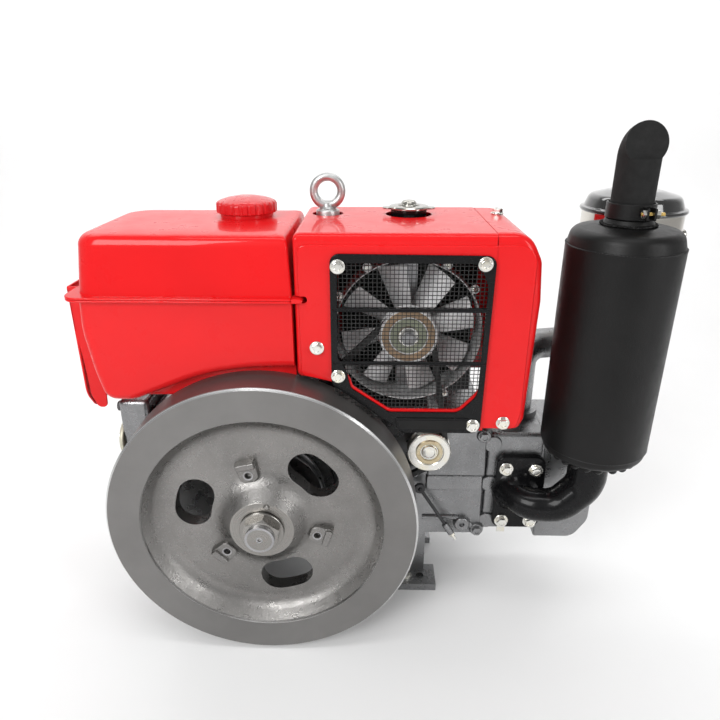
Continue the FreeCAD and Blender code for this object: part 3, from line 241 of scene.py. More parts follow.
CAST = casting_finish("grey_casting", (0.27, 0.272, 0.276), 0.29, 0.92, 0.6)
WEB = casting_finish("wheel_web", (0.25, 0.243, 0.235), 0.3, 0.95, 1.0, 330)
RIM = turned_finish("wheel_rim", (0.20, 0.195, 0.19), 0.36, CRANK, "y", 1500, 0.75, 0.08)
EDGE = turned_finish("wheel_edge", (0.62, 0.62, 0.62), 0.22, CRANK, "y", 900, 1.0, 0.05)
TURNED = turned_finish("turned_steel", (0.30, 0.29, 0.275), 0.28, CRANK, "y", 700, 1.0, 0.18)
ZINC = finish_of("zinc_plate", (0.80, 0.79, 0.75), 0.22, 1.0, mottle=0.05, mottle_scale=70, grain=0.05,
                 grain_scale=600, tint=(0.82, 0.78, 0.66))
YELLOW_ZINC = finish_of("yellow_zinc", (0.60, 0.50, 0.33), 0.3, 1.0, mottle=0.15, mottle_scale=40, grain=0.1,
                        tint=(0.62, 0.62, 0.50))
CREAM = finish_of("cream_zinc", (0.60, 0.58, 0.46), 0.45, 0.4, mottle=0.12, mottle_scale=50, grain=0.1)
STEEL = finish_of("ground_steel", (0.40, 0.40, 0.41), 0.32, 1.0, mottle=0.12, mottle_scale=30, grain=0.12,
                  grain_scale=800)
DARK = finish_of("dark_steel", (0.05, 0.05, 0.052), 0.42, 0.5, mottle=0.2, mottle_scale=40, grain=0.2,
                 grain_scale=500)
CHROME = finish_of("chrome", (0.40, 0.39, 0.36), 0.16, 1.0, mottle=0.05, mottle_scale=40, rough_change=0.04,
                   grain=0.03, grain_scale=60)
GALVANIZED = finish_of("galvanized", (0.52, 0.525, 0.52), 0.4, 0.95, mottle=0.2, mottle_scale=60, grain=0.25,
                       grain_scale=300)
BRIGHT = finish_of("bright_sheet", (0.66, 0.63, 0.58), 0.13, 1.0, mottle=0.08, mottle_scale=8, grain=0.05,
                   grain_scale=30, stretch=(1, 1, 12))
ALLOY = finish_of("fan_alloy", (0.78, 0.78, 0.785), 0.36, 0.35, mottle=0.14, mottle_scale=40, grain=0.3,
                  grain_scale=500, edge=(0.75, 0.75, 0.75))
TAN = finish_of("pulley_tan", (0.36, 0.25, 0.16), 0.36, 0.7, mottle=0.2, mottle_scale=30, grain=0.2,
                grain_scale=400)
OLIVE = finish_of("pulley_olive", (0.30, 0.32, 0.24), 0.35, 0.8, mottle=0.12, mottle_scale=40, grain=0.1)
RUBBER = finish_of("belt_rubber", (0.012, 0.012, 0.012), 0.62, mottle=0.3, mottle_scale=80, grain=0.4,
                   grain_scale=900)
GASKET = finish_of("gasket", (0.05, 0.05, 0.055), 0.7, mottle=0.2, grain=0.3)
PISTON = finish_of("piston_alloy", (0.6, 0.61, 0.62), 0.3, 1.0, mottle=0.08, grain=0.1)
BRASS = finish_of("brass", (0.65, 0.45, 0.15), 0.25, 1.0, mottle=0.1, grain=0.08)
# Near-black matt finish: real soot inside the exhaust outlet, and painted shade inside the tank neck and in
# the fan pulley's gap.
SOOT_AND_SHADE = finish_of("soot_and_painted_shade", (0.004, 0.004, 0.004), 0.9, mottle=0.3, grain=0.3, grain_scale=300)
FINS = finish_of("radiator_fins", (0.022, 0.024, 0.02), 0.5, 0.3, mottle=0.3, mottle_scale=40, grain=0.3,
                 grain_scale=300)

SLOT_FINISH = {
    "grey_casting": CAST, "liner_iron": STEEL, "gasket": GASKET, "zinc_plate": ZINC, "flywheel_iron": WEB,
    "machined_steel": STEEL, "gear_steel": STEEL, "piston_alloy": PISTON, "tan_plate": TAN,
    "fan_alloy": ALLOY,
    "belt_rubber": RUBBER, "dark_steel": DARK, "red_paint": RED, "red_cap": CAP_RED, "black_paint": BLACK,
    "mesh_wire": WIRE, "radiator_paint": BLACK, "chrome_cap": CHROME, "galvanized": GALVANIZED,
    "muffler_paint": SATIN, "bright_steel": BRIGHT, "black_lid": GLOSS,
}
SLOT_OF = {entry["node"]: entry["material_slot"] for entry in frame["record"]["subparts"]}


# ------------------------------------------------------------------ mesh making (mm in, metres out)

def placed(name, data):
    """Put new data into the scene as an object."""
    obj = bpy.data.objects.new(name, data)
    bpy.context.scene.collection.objects.link(obj)
    return obj


def new_object(name, verts, faces, materials, indices=None):
    """Make a mesh object from points in millimetres."""
    mesh = bpy.data.meshes.new(name)
    mesh.from_pydata([tuple(component * MM for component in vert) for vert in verts], [], faces)
    for material in materials if isinstance(materials, (list, tuple)) else [materials]:
        mesh.materials.append(material)
    if indices:
        mesh.polygons.foreach_set("material_index", indices)
    obj = placed(name, mesh)
    clean(obj)
    return obj


def ring_faces(rows, count):
    """Faces between rings of points that are stacked one on the other."""
    faces = []
    for row in range(rows - 1):
        for step in range(count):
            nxt = (step + 1) % count
            faces.append((row * count + step, row * count + nxt, (row + 1) * count + nxt,
                          (row + 1) * count + step))
    return faces


def torus_faces(count, around):
    """Faces of a closed ring with a closed section."""
    faces = []
    for step in range(count):
        for corner in range(around):
            nxt, up = (step + 1) % count, (corner + 1) % around
            faces.append((step * around + corner, nxt * around + corner, nxt * around + up,
                          step * around + up))
    return faces


def clean(obj):
    """Merge doubled points and turn the faces outwards."""
    work = bmesh.new()
    work.from_mesh(obj.data)
    bmesh.ops.remove_doubles(work, verts=work.verts, dist=1e-6)
    bmesh.ops.recalc_face_normals(work, faces=work.faces)
    work.to_mesh(obj.data)
    work.free()


def apply_all(obj):
    """Replace an object's mesh by what its modifiers make of it."""
    graph = bpy.context.evaluated_depsgraph_get()
    mesh = bpy.data.meshes.new_from_object(obj.evaluated_get(graph))
    obj.modifiers.clear()
    obj.data = mesh
    return obj


def bevel(obj, width, segments=3, angle=32.0):
    """Round the sharp edges, by width in millimetres."""
    item = obj.modifiers.new("round", "BEVEL")
    item.width = width * MM
    item.segments = segments
    item.limit_method = "ANGLE"
    item.angle_limit = math.radians(angle)
    item.use_clamp_overlap = True
    return obj


def combine(obj, others, operation="DIFFERENCE"):
    """Apply a boolean with several helper objects, which are then deleted."""
    for other in others:
        item = obj.modifiers.new("cut", "BOOLEAN")
        item.operation = operation
        item.solver = "EXACT"
        item.object = other
    apply_all(obj)
    for other in others:
        bpy.data.objects.remove(other)
    return obj


def smooth(obj, angle=32.0):
    """Smooth shading that keeps real corners crisp."""
    apply_all(obj)
    for polygon in obj.data.polygons:
        polygon.use_smooth = True
    obj.data.set_sharp_from_angle(angle=math.radians(angle))
    item = obj.modifiers.new("flats", "WEIGHTED_NORMAL")
    item.keep_sharp = True
    return obj


def done(obj, body, slot, *nodes, angle=32.0):
    """Finish a piece: shading, the body it rides on and what it stands for; slot is not used."""
    smooth(obj, angle)
    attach(obj, body)
    if nodes:
        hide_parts(*nodes)
    return obj


def joined(name, objects):
    """Join several objects into one."""
    meshes = [apply_all(item).data for item in objects]
    work = bmesh.new()
    materials = []
    for item, mesh in zip(objects, meshes):
        start = len(work.faces)
        mesh.transform(item.matrix_world)
        work.from_mesh(mesh)
        work.faces.ensure_lookup_table()
        for number in range(start, len(work.faces)):
            material = mesh.materials[work.faces[number].material_index]
            if material not in materials:
                materials.append(material)
            work.faces[number].material_index = materials.index(material)
    result = bpy.data.meshes.new(name)
    work.to_mesh(result)
    work.free()
    for material in materials:
        result.materials.append(material)
    for item in objects:
        bpy.data.objects.remove(item)
    return placed(name, result)


def frame_of(axis):
    """Two directions across an axis, and its own; the axis is a letter or a direction."""
    axis = Vector(ALONG.get(axis, axis) if isinstance(axis, str) else axis).normalized()
    helper = Vector((0, 0, 1)) if abs(axis.z) < 0.9 else Vector((1, 0, 0))
    across = axis.cross(helper).normalized()
    return across, axis.cross(across).normalized(), axis


def lathe(name, profile, centre, axis, materials, segments=96, bands=None, closed=False):
    """Turn a profile of (radius, distance along the axis) about a centre line."""
    across, up, along = frame_of(axis)
    centre = Vector(centre)
    verts = []
    for radius, lift in profile:
        for step in range(segments):
            turn = 2 * math.pi * step / segments
            verts.append(centre + along * lift + (across * math.cos(turn) + up * math.sin(turn)) * radius)
    faces = []
    indices = []
    rows = len(profile)
    for row in range(rows if closed else rows - 1):
        after = (row + 1) % rows
        if profile[row][0] < 1e-6 and profile[after][0] < 1e-6:
            continue
        for step in range(segments):
            nxt = (step + 1) % segments
            faces.append((row * segments + step, row * segments + nxt,
                          after * segments + nxt, after * segments + step))
            indices.append(bands[row] if bands else 0)
    return new_object(name, verts, faces, materials, indices)


def rounded_line(points, radii, steps=6, closed=True):
    """Round the corners of a line of 2-D points, each with its own radius."""
    count = len(points)
    result = []
    for number, (point, radius) in enumerate(zip(points, radii)):
        here = Vector(point)
        if radius <= 0 or (not closed and number in (0, count - 1)):
            result.append((here.x, here.y))
            continue
        before = Vector(points[number - 1])
        after = Vector(points[(number + 1) % count])
        back, ahead = (before - here), (after - here)
        room = min(back.length, ahead.length) * 0.499
        back.normalize()
        ahead.normalize()
        half = math.acos(max(-1.0, min(1.0, back.dot(ahead)))) / 2
        if half > math.radians(89.5):
            result.append((here.x, here.y))
            continue
        reach = min(radius / math.tan(half), room)
        radius = reach * math.tan(half)
        hub = here + (back + ahead).normalized() * (radius / math.sin(half))
        start = here + back * reach - hub
        end = here + ahead * reach - hub
        sweep = start.angle_signed(end)
        for step in range(steps + 1):
            turn = -sweep * step / steps
            spun = Vector((start.x * math.cos(turn) - start.y * math.sin(turn),
                           start.x * math.sin(turn) + start.y * math.cos(turn)))
            result.append(tuple(hub + spun))
    return result


def softened(corners, steps, closed=False):
    """Round a line of corners that are given as (across, up, radius)."""
    return rounded_line([corner[:2] for corner in corners], [corner[2] for corner in corners], steps, closed)


def prism(name, outline, start, end, axis, material):
    """Extrude an outline along an axis.

    For y the outline is (x, z), for x it is (y, z), for z it is (x, y).
    """
    order = {"y": (0, 2, 1), "x": (1, 2, 0), "z": (0, 1, 2)}[axis]
    verts = []
    for level in (start, end):
        for across, up in outline:
            point = [0, 0, 0]
            point[order[0]], point[order[1]], point[order[2]] = across, up, level
            verts.append(point)
    count = len(outline)
    faces = [tuple(range(count)), tuple(range(count, 2 * count))] + ring_faces(2, count)
    return new_object(name, verts, faces, material)


def moved_in(points, amounts):
    """Move each side of a polygon inwards by its own amount."""
    count = len(points)
    area = sum(points[n][0] * points[(n + 1) % count][1] - points[(n + 1) % count][0] * points[n][1]
               for n in range(count))
    turn = 1 if area > 0 else -1
    sides = []
    for number in range(count):
        start, end = Vector(points[number]), Vector(points[(number + 1) % count])
        along = (end - start).normalized()
        normal = Vector((-along.y, along.x)) * turn
        sides.append((start + normal * amounts[number], along))
    result = []
    for number in range(count):
        (first, run), (second, nxt) = sides[number - 1], sides[number]
        cross = run.x * nxt.y - run.y * nxt.x
        gap = second - first
        reach = (gap.x * nxt.y - gap.y * nxt.x) / cross
        result.append(tuple(first + run * reach))
    return result, turn


def pressed(name, points, radii, start, end, edges, material, shares=None):
    """Pressing along Y whose front and back edges are rounded; edges holds the two radii.

    shares says how much of the rounding each side of the outline takes, from 0 to 1.
    """
    shares = shares or [1.0] * len(points)
    steps = 7
    count = len(points)
    levels = []
    for radius, place, way in ((edges[0], start, 1), (edges[1], end, -1)):
        ring = []
        for step in range(steps + 1 if radius else 1):
            turn = math.pi / 2 * step / steps
            ring.append((radius * (1 - math.sin(turn)), place + way * radius * (1 - math.cos(turn))))
        levels += ring if way > 0 else ring[::-1]
    loops = []
    for inset, level in levels:
        corners, turn = moved_in(points, [inset * share for share in shares])
        rounds = []
        for number in range(count):
            before = Vector(points[number]) - Vector(points[number - 1])
            after = Vector(points[(number + 1) % count]) - Vector(points[number])
            convex = (before.x * after.y - before.y * after.x) * turn > 0
            rounds.append(max(0.5, radii[number] + (-inset if convex else inset)))
        loops.append([(x, level, z) for x, z in rounded_line(corners, rounds, 6)])
    return loft(name, loops, material)


def block(name, corner, opposite, material):
    """A box between two corners."""
    outline = [(corner[0], corner[1]), (opposite[0], corner[1]), (opposite[0], opposite[1]),
               (corner[0], opposite[1])]
    return prism(name, outline, corner[2], opposite[2], "z", material)


def rod(name, start, end, radius, material, segments=32, chamfer=0.0):
    """A round bar between two points."""
    start, end = Vector(start), Vector(end)
    length = (end - start).length
    edge = min(chamfer, length / 3)
    profile = [(0, 0), (radius - edge, 0), (radius, edge), (radius, length - edge), (radius - edge, length),
               (0, length)]
    return lathe(name, profile, start, end - start, material, segments)


def pipe(name, path, radius, material, segments=40, wall=0.0):
    """Sweep a round section along a path of close points; a wall makes it hollow.

    radius is one number, or a pair for a pipe that widens evenly.
    """
    path = [Vector(point) for point in path]
    first, last = radius if isinstance(radius, tuple) else (radius, radius)
    tangents = []
    for number in range(len(path)):
        ahead = path[min(number + 1, len(path) - 1)] - path[max(number - 1, 0)]
        tangents.append(ahead.normalized())
    across, up, _ = frame_of(tangents[0])
    verts = []
    for number, (point, tangent) in enumerate(zip(path, tangents)):
        size = first + (last - first) * number / (len(path) - 1)
        if number:
            turn = tangents[number - 1].rotation_difference(tangent)
            across, up = turn @ across, turn @ up
        for step in range(segments):
            spin = 2 * math.pi * step / segments
            verts.append(point + (across * math.cos(spin) + up * math.sin(spin)) * size)
    faces = ring_faces(len(path), segments)
    if not wall:
        faces.append(tuple(range(segments)))
        faces.append(tuple(range((len(path) - 1) * segments, len(path) * segments)))
    obj = new_object(name, verts, faces, material)
    if wall:
        item = obj.modifiers.new("wall", "SOLIDIFY")
        item.thickness = wall * MM
        item.offset = -1
    return obj


def bent_path(points, bend, steps=10):
    """Straight runs joined by arcs, in three dimensions, as close points."""
    points = [Vector(point) for point in points]
    result = [points[0]]
    for before, corner, after in zip(points, points[1:], points[2:]):
        back, ahead = (before - corner).normalized(), (after - corner).normalized()
        half = back.angle(ahead) / 2
        reach = min(bend / math.tan(half), (before - corner).length * 0.49, (after - corner).length * 0.49)
        radius = reach * math.tan(half)
        hub = corner + (back + ahead).normalized() * (radius / math.sin(half))
        start, end = corner + back * reach - hub, corner + ahead * reach - hub
        swing = start.rotation_difference(end)
        for step in range(steps + 1):
            part = Quaternion().slerp(swing, step / steps)
            result.append(hub + part @ start)
    result.append(points[-1])
    return result


def hex_head(name, at, axis, across, height, material, recess=True, lift=0.0, phase=0.0):
    """Chamfered hexagon head, standing on a point."""
    first, second, along = frame_of(axis)
    flat = across / 2
    count = 48
    loops = [[], [], [], [], []]
    for step in range(count):
        turn = 2 * math.pi * step / count
        local = (turn % (math.pi / 3)) - math.pi / 6
        corner = flat / math.cos(local)
        direction = first * math.cos(turn + phase) + second * math.sin(turn + phase)
        drop = (corner - flat * 0.95) * 0.6
        rings = [(corner, 0), (corner, height - drop), (flat * 0.95, height), (flat * 0.6, height),
                 (flat * 0.52, height - (0.09 * across if recess else 0))]
        for loop, (radius, level) in zip(loops, rings):
            loop.append(Vector(at) + direction * radius + along * (level + lift))
    verts = [vert for loop in loops for vert in loop]
    faces = [tuple(range(count)), tuple(range(4 * count, 5 * count))] + ring_faces(5, count)
    return new_object(name, verts, faces, material)


def flange_bolt(name, at, axis, across, washer, height, phase=0.0):
    """Zinc-plated hexagon bolt head on its round flange, with a plain washer below."""
    plate = lathe(name + "_washer",
                  [(0, 0), (washer - 0.4, 0), (washer, 0.3), (washer, 1.5), (washer - 0.4, 1.8),
                                     (across * 0.62, 1.8), (across * 0.6, 3.0), (0, 3.4)], at, axis, ZINC, 40)
    head = hex_head(name + "_head", at, axis, across, height, ZINC, lift=2.6, phase=phase)
    return joined(name, [plate, head])


def loft(name, loops, material, caps=(True, True)):
    """Skin a stack of loops that have the same number of points."""
    count = len(loops[0])
    verts = [vert for loop in loops for vert in loop]
    faces = ring_faces(len(loops), count)
    if caps[0]:
        faces.append(tuple(range(count)))
    if caps[1]:
        faces.append(tuple(range((len(loops) - 1) * count, len(loops) * count)))
    return new_object(name, verts, faces, material)


def rounded_plan(left, right, front, back, radii, steps=8):
    """Rectangle with its own radius at each corner: front left, front right, back right, back left.

    In an upright plane, front is the lower side and back the upper one.
    """
    return rounded_line([(left, front), (right, front), (right, back), (left, back)], radii, steps)


def arc(centre, radius, start, end, steps):
    """Points on a circle between two angles in degrees."""
    result = []
    for step in range(steps + 1):
        turn = math.radians(start + (end - start) * step / steps)
        result.append((centre[0] + radius * math.cos(turn), centre[1] + radius * math.sin(turn)))
    return result


# ------------------------------------------------------------------ flywheel and crank end

def spoke(degrees):
    """Directions outwards and sideways at an angle round the Y axis."""
    turn = math.radians(degrees)
    return Vector((math.cos(turn), 0, math.sin(turn))), Vector((-math.sin(turn), 0, math.cos(turn)))


def kidney(centre, inner, outer, angle, half):
    """Kidney-shaped outline about a centre, with fully rounded ends."""
    mean = (inner + outer) / 2
    soft = (outer - inner) / 2
    points = arc(centre, outer, angle - half, angle + half, 10)
    for degrees, way in ((angle + half, 1), (angle - half, -1)):
        turn = math.radians(degrees)
        hub = (centre[0] + mean * math.cos(turn), centre[1] + mean * math.sin(turn))
        start = degrees if way > 0 else degrees + 180
        end = arc(hub, soft, start, start + 180, 14)
        points += end[1:-1]
        if way > 0:
            points += arc(centre, inner, angle + half, angle - half, 10)
    return points


def make_flywheel():
    """Flywheel with a machined rim, rough bowl-shaped web, three windows and three lugs."""
    corners = [(22, 1, 0), (46, 0, 1.5), (72, 29, 46), (157, 28, 50), (174.5, 4, 3), (176, 0, 0.6),
               (WHEEL_RADIUS - 3, 0, 0), (WHEEL_RADIUS, 3, 0), (WHEEL_RADIUS, 60, 0),
               (WHEEL_RADIUS - 3, 63, 0),
               (178, 63, 2), (164, 50, 12), (88, 50, 12), (58, 63, 3), (22, 63, 0)]
    profile = softened(corners, 10, closed=True)
    web, rim, edge, bore = range(4)
    bands = []
    for here, after in zip(profile, profile[1:] + profile[:1]):
        radius, depth = (here[0] + after[0]) / 2, (here[1] + after[1]) / 2
        if depth < 0.3 and radius > 170:
            bands.append(rim)
        elif depth < 3 and radius > 170:
            bands.append(edge)
        elif depth < 1.5 and radius < 60:
            bands.append(bore)
        else:
            bands.append(rim if radius > 200 else web)
    start = HUB_FACE
    wheel = lathe("wheel_body", profile, start, "y", [WEB, RIM, EDGE, TURNED], 192, bands, closed=True)
    flat = (CRANK.x, CRANK.z)
    cutters = []
    inner, outer, half_angle = 79, 133, 7.3
    for angle in (45.5, 165.5, 285.5):
        shape = kidney(flat, inner, outer, angle, half_angle)
        cutters.append(prism("window_cut", shape, WHEEL_FRONT - 5, WHEEL_FRONT + 70, "y", WEB))
    combine(wheel, cutters)
    bevel(wheel, 2.2, 3, 50)
    apply_all(wheel)
    lugs = [lug("wheel_lug_%d" % number, start, *spoke(103 + 120 * number)) for number in range(3)]
    pin = lathe("wheel_pin", [(0, -3), (3, -2.4), (4.6, 0), (4.6, 2)],
                start + Vector((9, 0, 40)), "y", TURNED, 32)
    done(joined("flywheel_fine", [wheel, pin] + lugs), "crank", "flywheel_iron", "flywheel", angle=40)


def lug(name, start, outward, side):
    """Raised pad on the web with a step and a tapped hole, one of the pulley's seats."""
    depth = Vector((0, 1, 0))
    shape = rounded_line([(68, -15), (86, -16), (103, -17), (103, 17), (86, 16), (68, 15)],
                         [12, 0, 4, 4, 0, 12], 5)
    base = [start + outward * r + side * s + depth * 34 for r, s in shape]
    top = [start + outward * (86 + (r - 86) * 0.9) + side * s * 0.88 + depth * 19.5 for r, s in shape]
    pad = loft(name, [base, top], WEB)
    step_shape = [(90, -14.5), (102, -15), (102, 15), (90, 14.5)]
    lower = [start + outward * r + side * s + depth * 24 for r, s in step_shape]
    upper = [start + outward * (r + (1.5 if r < 95 else -1)) + side * s * 0.9 + depth * 15.5 for r,
             s in step_shape]
    step = loft(name + "_step", [lower, upper], WEB)
    hole = rod("hole_cut", start + outward * 81 + depth * 10, start + outward * 81 + depth * 60, 5, SOOT_AND_SHADE)
    bevel(pad, 1.8, 3, 25)
    bevel(step, 1.5, 3, 25)
    apply_all(step)
    apply_all(pad)
    combine(pad, [hole])
    mouth = lathe(name + "_thread", [(5.0, 19.6), (7.2, 19.2), (7.2, 20.4), (5.0, 24), (5.0, 30), (0, 30)],
                  start + outward * 81, "y", STEEL, 32)
    return joined(name, [pad, step, mouth])


def make_crank_end():
    """Hub nut on its washer, and the crankshaft's threaded end with its centre drill."""
    start = HUB_FACE
    washer = lathe("hub_washer", [(22, 0), (31.2, 0), (32, 0.8), (32, 3.4), (31.4, 4), (22, 4)], start, "-y",
                   TURNED, 96)
    nut = hex_head("hub_nut", start, "-y", 50, 12, TURNED, recess=False, lift=4, phase=0.35)
    done(joined("flywheel_nut_fine", [washer, nut]), "crank", "machined_steel", "flywheel_nut")
    threads = []
    for step in range(4):
        threads += [(18.5, 13.4 + 1.8 * step), (17.6, 14.3 + 1.8 * step)]
    profile = [(0, 8), (18.5, 8)] + threads + [(18.5, 20.8), (17.4, 22.3), (5, 22.3), (4.2, 21.2), (2.2, 19),
                                               (0, 17.5)]
    done(lathe("shaft_end", profile, start, "-y", [TURNED], 96), "crank", "machined_steel")


# ------------------------------------------------------------------ fuel tank

def make_tank():
    """Lower tank: a front that arches over the flywheel, a deep rear, a seam lip and its tongue."""
    front, back, left = SIDE_FRONT, SIDE_BACK, TANK_LEFT
    side = [(left + 5, SEAM), (left + 2, 516), (left + 10, 456), (left + 20, 414)]
    belly = [(left + 58, 413.5), (left + 93, 427), (left + 162, 454), (left + 220, 463.5), (TANK_RIGHT, 466)]
    fore = pressed("tank_fore", side + belly + [(TANK_RIGHT, SEAM)],
                   [0, 120, 90, 20, 40, 150, 260, 300, 0.5, 0],
                   front, front + 34, (13, 5), RED, [1, 1, 1, 1, 1, 1, 1, 1, 0.05, 0])
    deep = side + [(TANK_RIGHT, TANK_LOW + 1), (TANK_RIGHT, SEAM)]
    rear = pressed("tank_rear", deep, [0, 120, 90, 20, 0.5, 0], front + 20, back, (6, 9), RED,
                   [1, 1, 1, 1, 0.05, 0])
    combine(fore, [rear], "UNION")
    lip = seam_rim("tank_lip_low", SEAM - 3.2, SEAM - 0.1)
    shape = [(TANK_RIGHT - 0.5, SEAM - 3.2), (19, SEAM - 3.2), (high("tank_lower").x, SEAM - 0.5),
             (19, SEAM + 3),
             (TANK_RIGHT + 0.5, SEAM + 3)]
    tongue = prism("tank_tongue", rounded_line(shape, [0, 3, 3, 3, 1], 4), front - 8, front + 14, "y", RED)
    bevel(tongue, 1.0, 3, 50)
    done(joined("tank_lower_fine", [fore, lip, tongue]), "root", "red_paint", "tank_lower", angle=45)
    make_tank_top(front, back)


def seam_rim(name, bottom, top):
    """Rolled flange of one half of the seam."""
    plan = rounded_plan(TANK_LEFT - 13, TANK_RIGHT, SIDE_FRONT - 9, SIDE_BACK + 7, [22, 2, 2, 22], 8)
    rim = prism(name, plan, bottom, top, "z", RED)
    bevel(rim, 1.3, 3, 40)
    return rim


def make_tank_top(front, back):
    """Upper pressing: drafted sides, soft shoulders and a faintly crowned top."""
    loops = []
    levels = [(0, SEAM, 30), (3.0, SEAM + 30, 31), (6.5, TANK_TOP - 19, 32)]
    for step in range(1, 9):
        turn = math.pi / 2 * step / 8
        levels.append((6.5 + 14 * (1 - math.cos(turn)), TANK_TOP - 19 + 17 * math.sin(turn), 32))
    levels += [(24, TANK_TOP - 1.2, 30), (44, TANK_TOP - 0.4, 26), (70, TANK_TOP, 20)]
    for inset, level, corner in levels:
        plan = rounded_plan(TANK_LEFT + inset, TANK_RIGHT - inset * 0.5, front + inset * 0.7,
                            back - inset * 0.7,
                            [corner, 4, 4, corner], 8)
        loops.append([(x, y, level) for x, y in plan])
    shell = loft("tank_shell", loops, RED)
    hole = rod("neck_cut", (CAP.x, CAP.y, SEAM + 20), (CAP.x, CAP.y, TANK_TOP + 20), 30.5, RED, 64)
    combine(shell, [hole])
    neck = lathe("tank_neck", [(30, -30), (30, 8), (31, 8.6), (33, 8.6), (34, 7.6), (34, 2), (36, 0.6),
                               (40, 0.2), (40, -2)],
                 (CAP.x, CAP.y, TANK_TOP), "z", [RED], 96)
    # Painted shade: a near-black tube lines the hole below the red neck, standing in for the shade deep
    # inside the tank.
    floor = lathe("tank_neck_painted_shade", [(30.4, -60), (30.4, -30)], (CAP.x, CAP.y, TANK_TOP), "z", [SOOT_AND_SHADE], 96)
    lip = seam_rim("tank_lip_high", SEAM + 0.1, SEAM + 3.2)
    done(joined("tank_upper_fine", [shell, neck, floor, lip]), "root", "red_paint", "tank_upper", angle=45)


def make_fuel_cap():
    """Screw cap: neck ring, ribbed skirt and a smooth dome."""
    base = low("fuel_cap").z
    outer = (high("fuel_cap").x - low("fuel_cap").x) / 2
    rise = (high("fuel_cap").z - base) / 30
    count = 288
    ribs = 24
    loops = []
    rows = [(outer - 6, 0, 0), (outer - 5.5, 1, 0), (outer - 5.5, 5.6, 0), (outer - 1.6, 6.6, 0.4),
            (outer, 7.8, 1),
            (outer, 18.2, 1), (outer - 0.8, 20.4, 0.8), (outer - 2.8, 22.2, 0.3), (outer - 6, 23.8, 0),
            (outer - 14, 26.4, 0), (outer - 26, 28.7, 0), (8, 29.8, 0)]
    for radius, lift, depth in rows:
        loop = []
        for step in range(count):
            turn = 2 * math.pi * step / count
            wave = max(0.0, math.cos(ribs * turn)) ** 0.7 * 2.0 * depth
            loop.append((CAP.x + (radius - wave) * math.cos(turn), CAP.y + (radius - wave) * math.sin(turn),
                         base + lift * rise))
        loops.append(loop)
    shell = loft("cap_shell", loops, CAP_RED, caps=(False, True))
    under = lathe("cap_under", [(outer - 6, 0), (34.8, 0), (34.8, 9), (0, 9)], (CAP.x, CAP.y, base), "z",
                  [CAP_RED], 96)
    done(joined("fuel_cap_fine", [shell, under]), "fuel_cap", "red_cap", "fuel_cap", angle=40)


def make_rear_panel():
    """Pressed panel behind the tank, with a flange turned forwards that shows beside the tank."""
    x = low("rear_panel").x
    front, back = low("rear_panel").y, high("rear_panel").y
    bottom, top = low("rear_panel").z, high("rear_panel").z
    outline = rounded_line([(front, top), (front, 392), (front + 22, bottom), (back - 26, bottom),
                            (back - 4, 405),
                            (back, top)], [4, 40, 18, 18, 60, 4], 8)
    plate = prism("panel_plate", outline, x, x + 3, "x", RED)
    bevel(plate, 0.9, 2)
    shape = [(x, top), (x, 500), (x + 5, 450), (x + 7, 392), (x + 15, 371), (x + 29, 371), (x + 31, 405),
             (x + 31, 440), (x + 22, top)]
    flange = prism("panel_flange", rounded_line(shape, [3, 60, 60, 30, 8, 8, 40, 60, 2], 6), front, front + 3,
                   "y", RED)
    bevel(flange, 1.2, 3, 50)
    done(joined("rear_panel_fine", [plate, flange]), "root", "red_paint", "rear_panel")


# ------------------------------------------------------------------ hood, grille and fan

def window_corners():
    """Corners of the air inlet, shared by the hood and its grille."""
    return [(66, 484), (77, 466), (83, 440), (135, 404), (231, 404), (255, 430), (258, 583), (245, 612),
            (66, 612)]


def make_hood():
    """Pressed hood: rounded shell with a raised panel, the inlet window, notch, vents and top holes."""
    points = [(HOOD_LEFT, 453), (54, 444), (157, HOOD_LOW), (HOOD_RIGHT, HOOD_LOW), (HOOD_RIGHT, HOOD_TOP),
              (HOOD_LEFT, HOOD_TOP)]
    shell = pressed("hood_shell", points, [10, 8, 10, 1, 1, 9], SIDE_FRONT + 2.2, SIDE_BACK, (9, 9), RED,
                    [1, 1, 1, 0.06, 1, 0.5])
    inner = [(HOOD_LEFT + 2, 340), (HOOD_RIGHT + 30, 340), (HOOD_RIGHT + 30, HOOD_TOP - 2),
             (HOOD_LEFT + 2, HOOD_TOP - 2)]
    void = pressed("hood_void", inner, [1, 1, 1, 7], SIDE_FRONT + 4.2, SIDE_BACK - 2, (7, 7), RED)
    combine(shell, [void])
    raised = [(16, 457), (56, 447.5), (158, 374), (HOOD_RIGHT, 374), (HOOD_RIGHT, 634), (16, 634)]
    panel = pressed("hood_raised", raised, [8, 8, 8, 1, 1, 10], SIDE_FRONT, SIDE_FRONT + 3.6, (1.8, 0), RED,
                    [1, 1, 1, 0.05, 1, 1])
    combine(shell, [panel], "UNION")
    window, _ = moved_in(window_corners(), [-3, 2.4, 2.4, 2.4, 2.4, -3, -3, -3, -3])
    cutters = [prism("window", rounded_line(window, [8, 8, 10, 14, 16, 24, 28, 16, 8], 6), SIDE_FRONT - 5,
                     SIDE_FRONT + 8, "y", RED)]
    notch = rounded_plan(HOOD_LEFT - 6, 27, SEAM - 4.5, SEAM + 4.5, [0, 4, 4, 0], 5)
    cutters.append(prism("notch", notch, SIDE_FRONT - 5, SIDE_FRONT + 22, "y", SOOT_AND_SHADE))
    for node, radius in (("lifting_eye", 22.5), ("radiator_cap", 33.5)):
        at = middle(node)
        cutters.append(rod("top_hole", (at.x, at.y, HOOD_TOP - 15), (at.x, at.y, HOOD_TOP + 15), radius, RED,
                           64))
    vents, pitch, height = 8, 24, 14
    for number in range(vents):
        base = 412 + pitch * number
        slot = rounded_plan(75, 252, base, base + height, [6.5] * 4, 5)
        cutters.append(prism("vent", slot, SIDE_BACK - 8, SIDE_BACK + 8, "y", RED))
    for cutter in cutters:
        combine(shell, [cutter])
    done(shell, "root", "red_paint", "hood", angle=40)


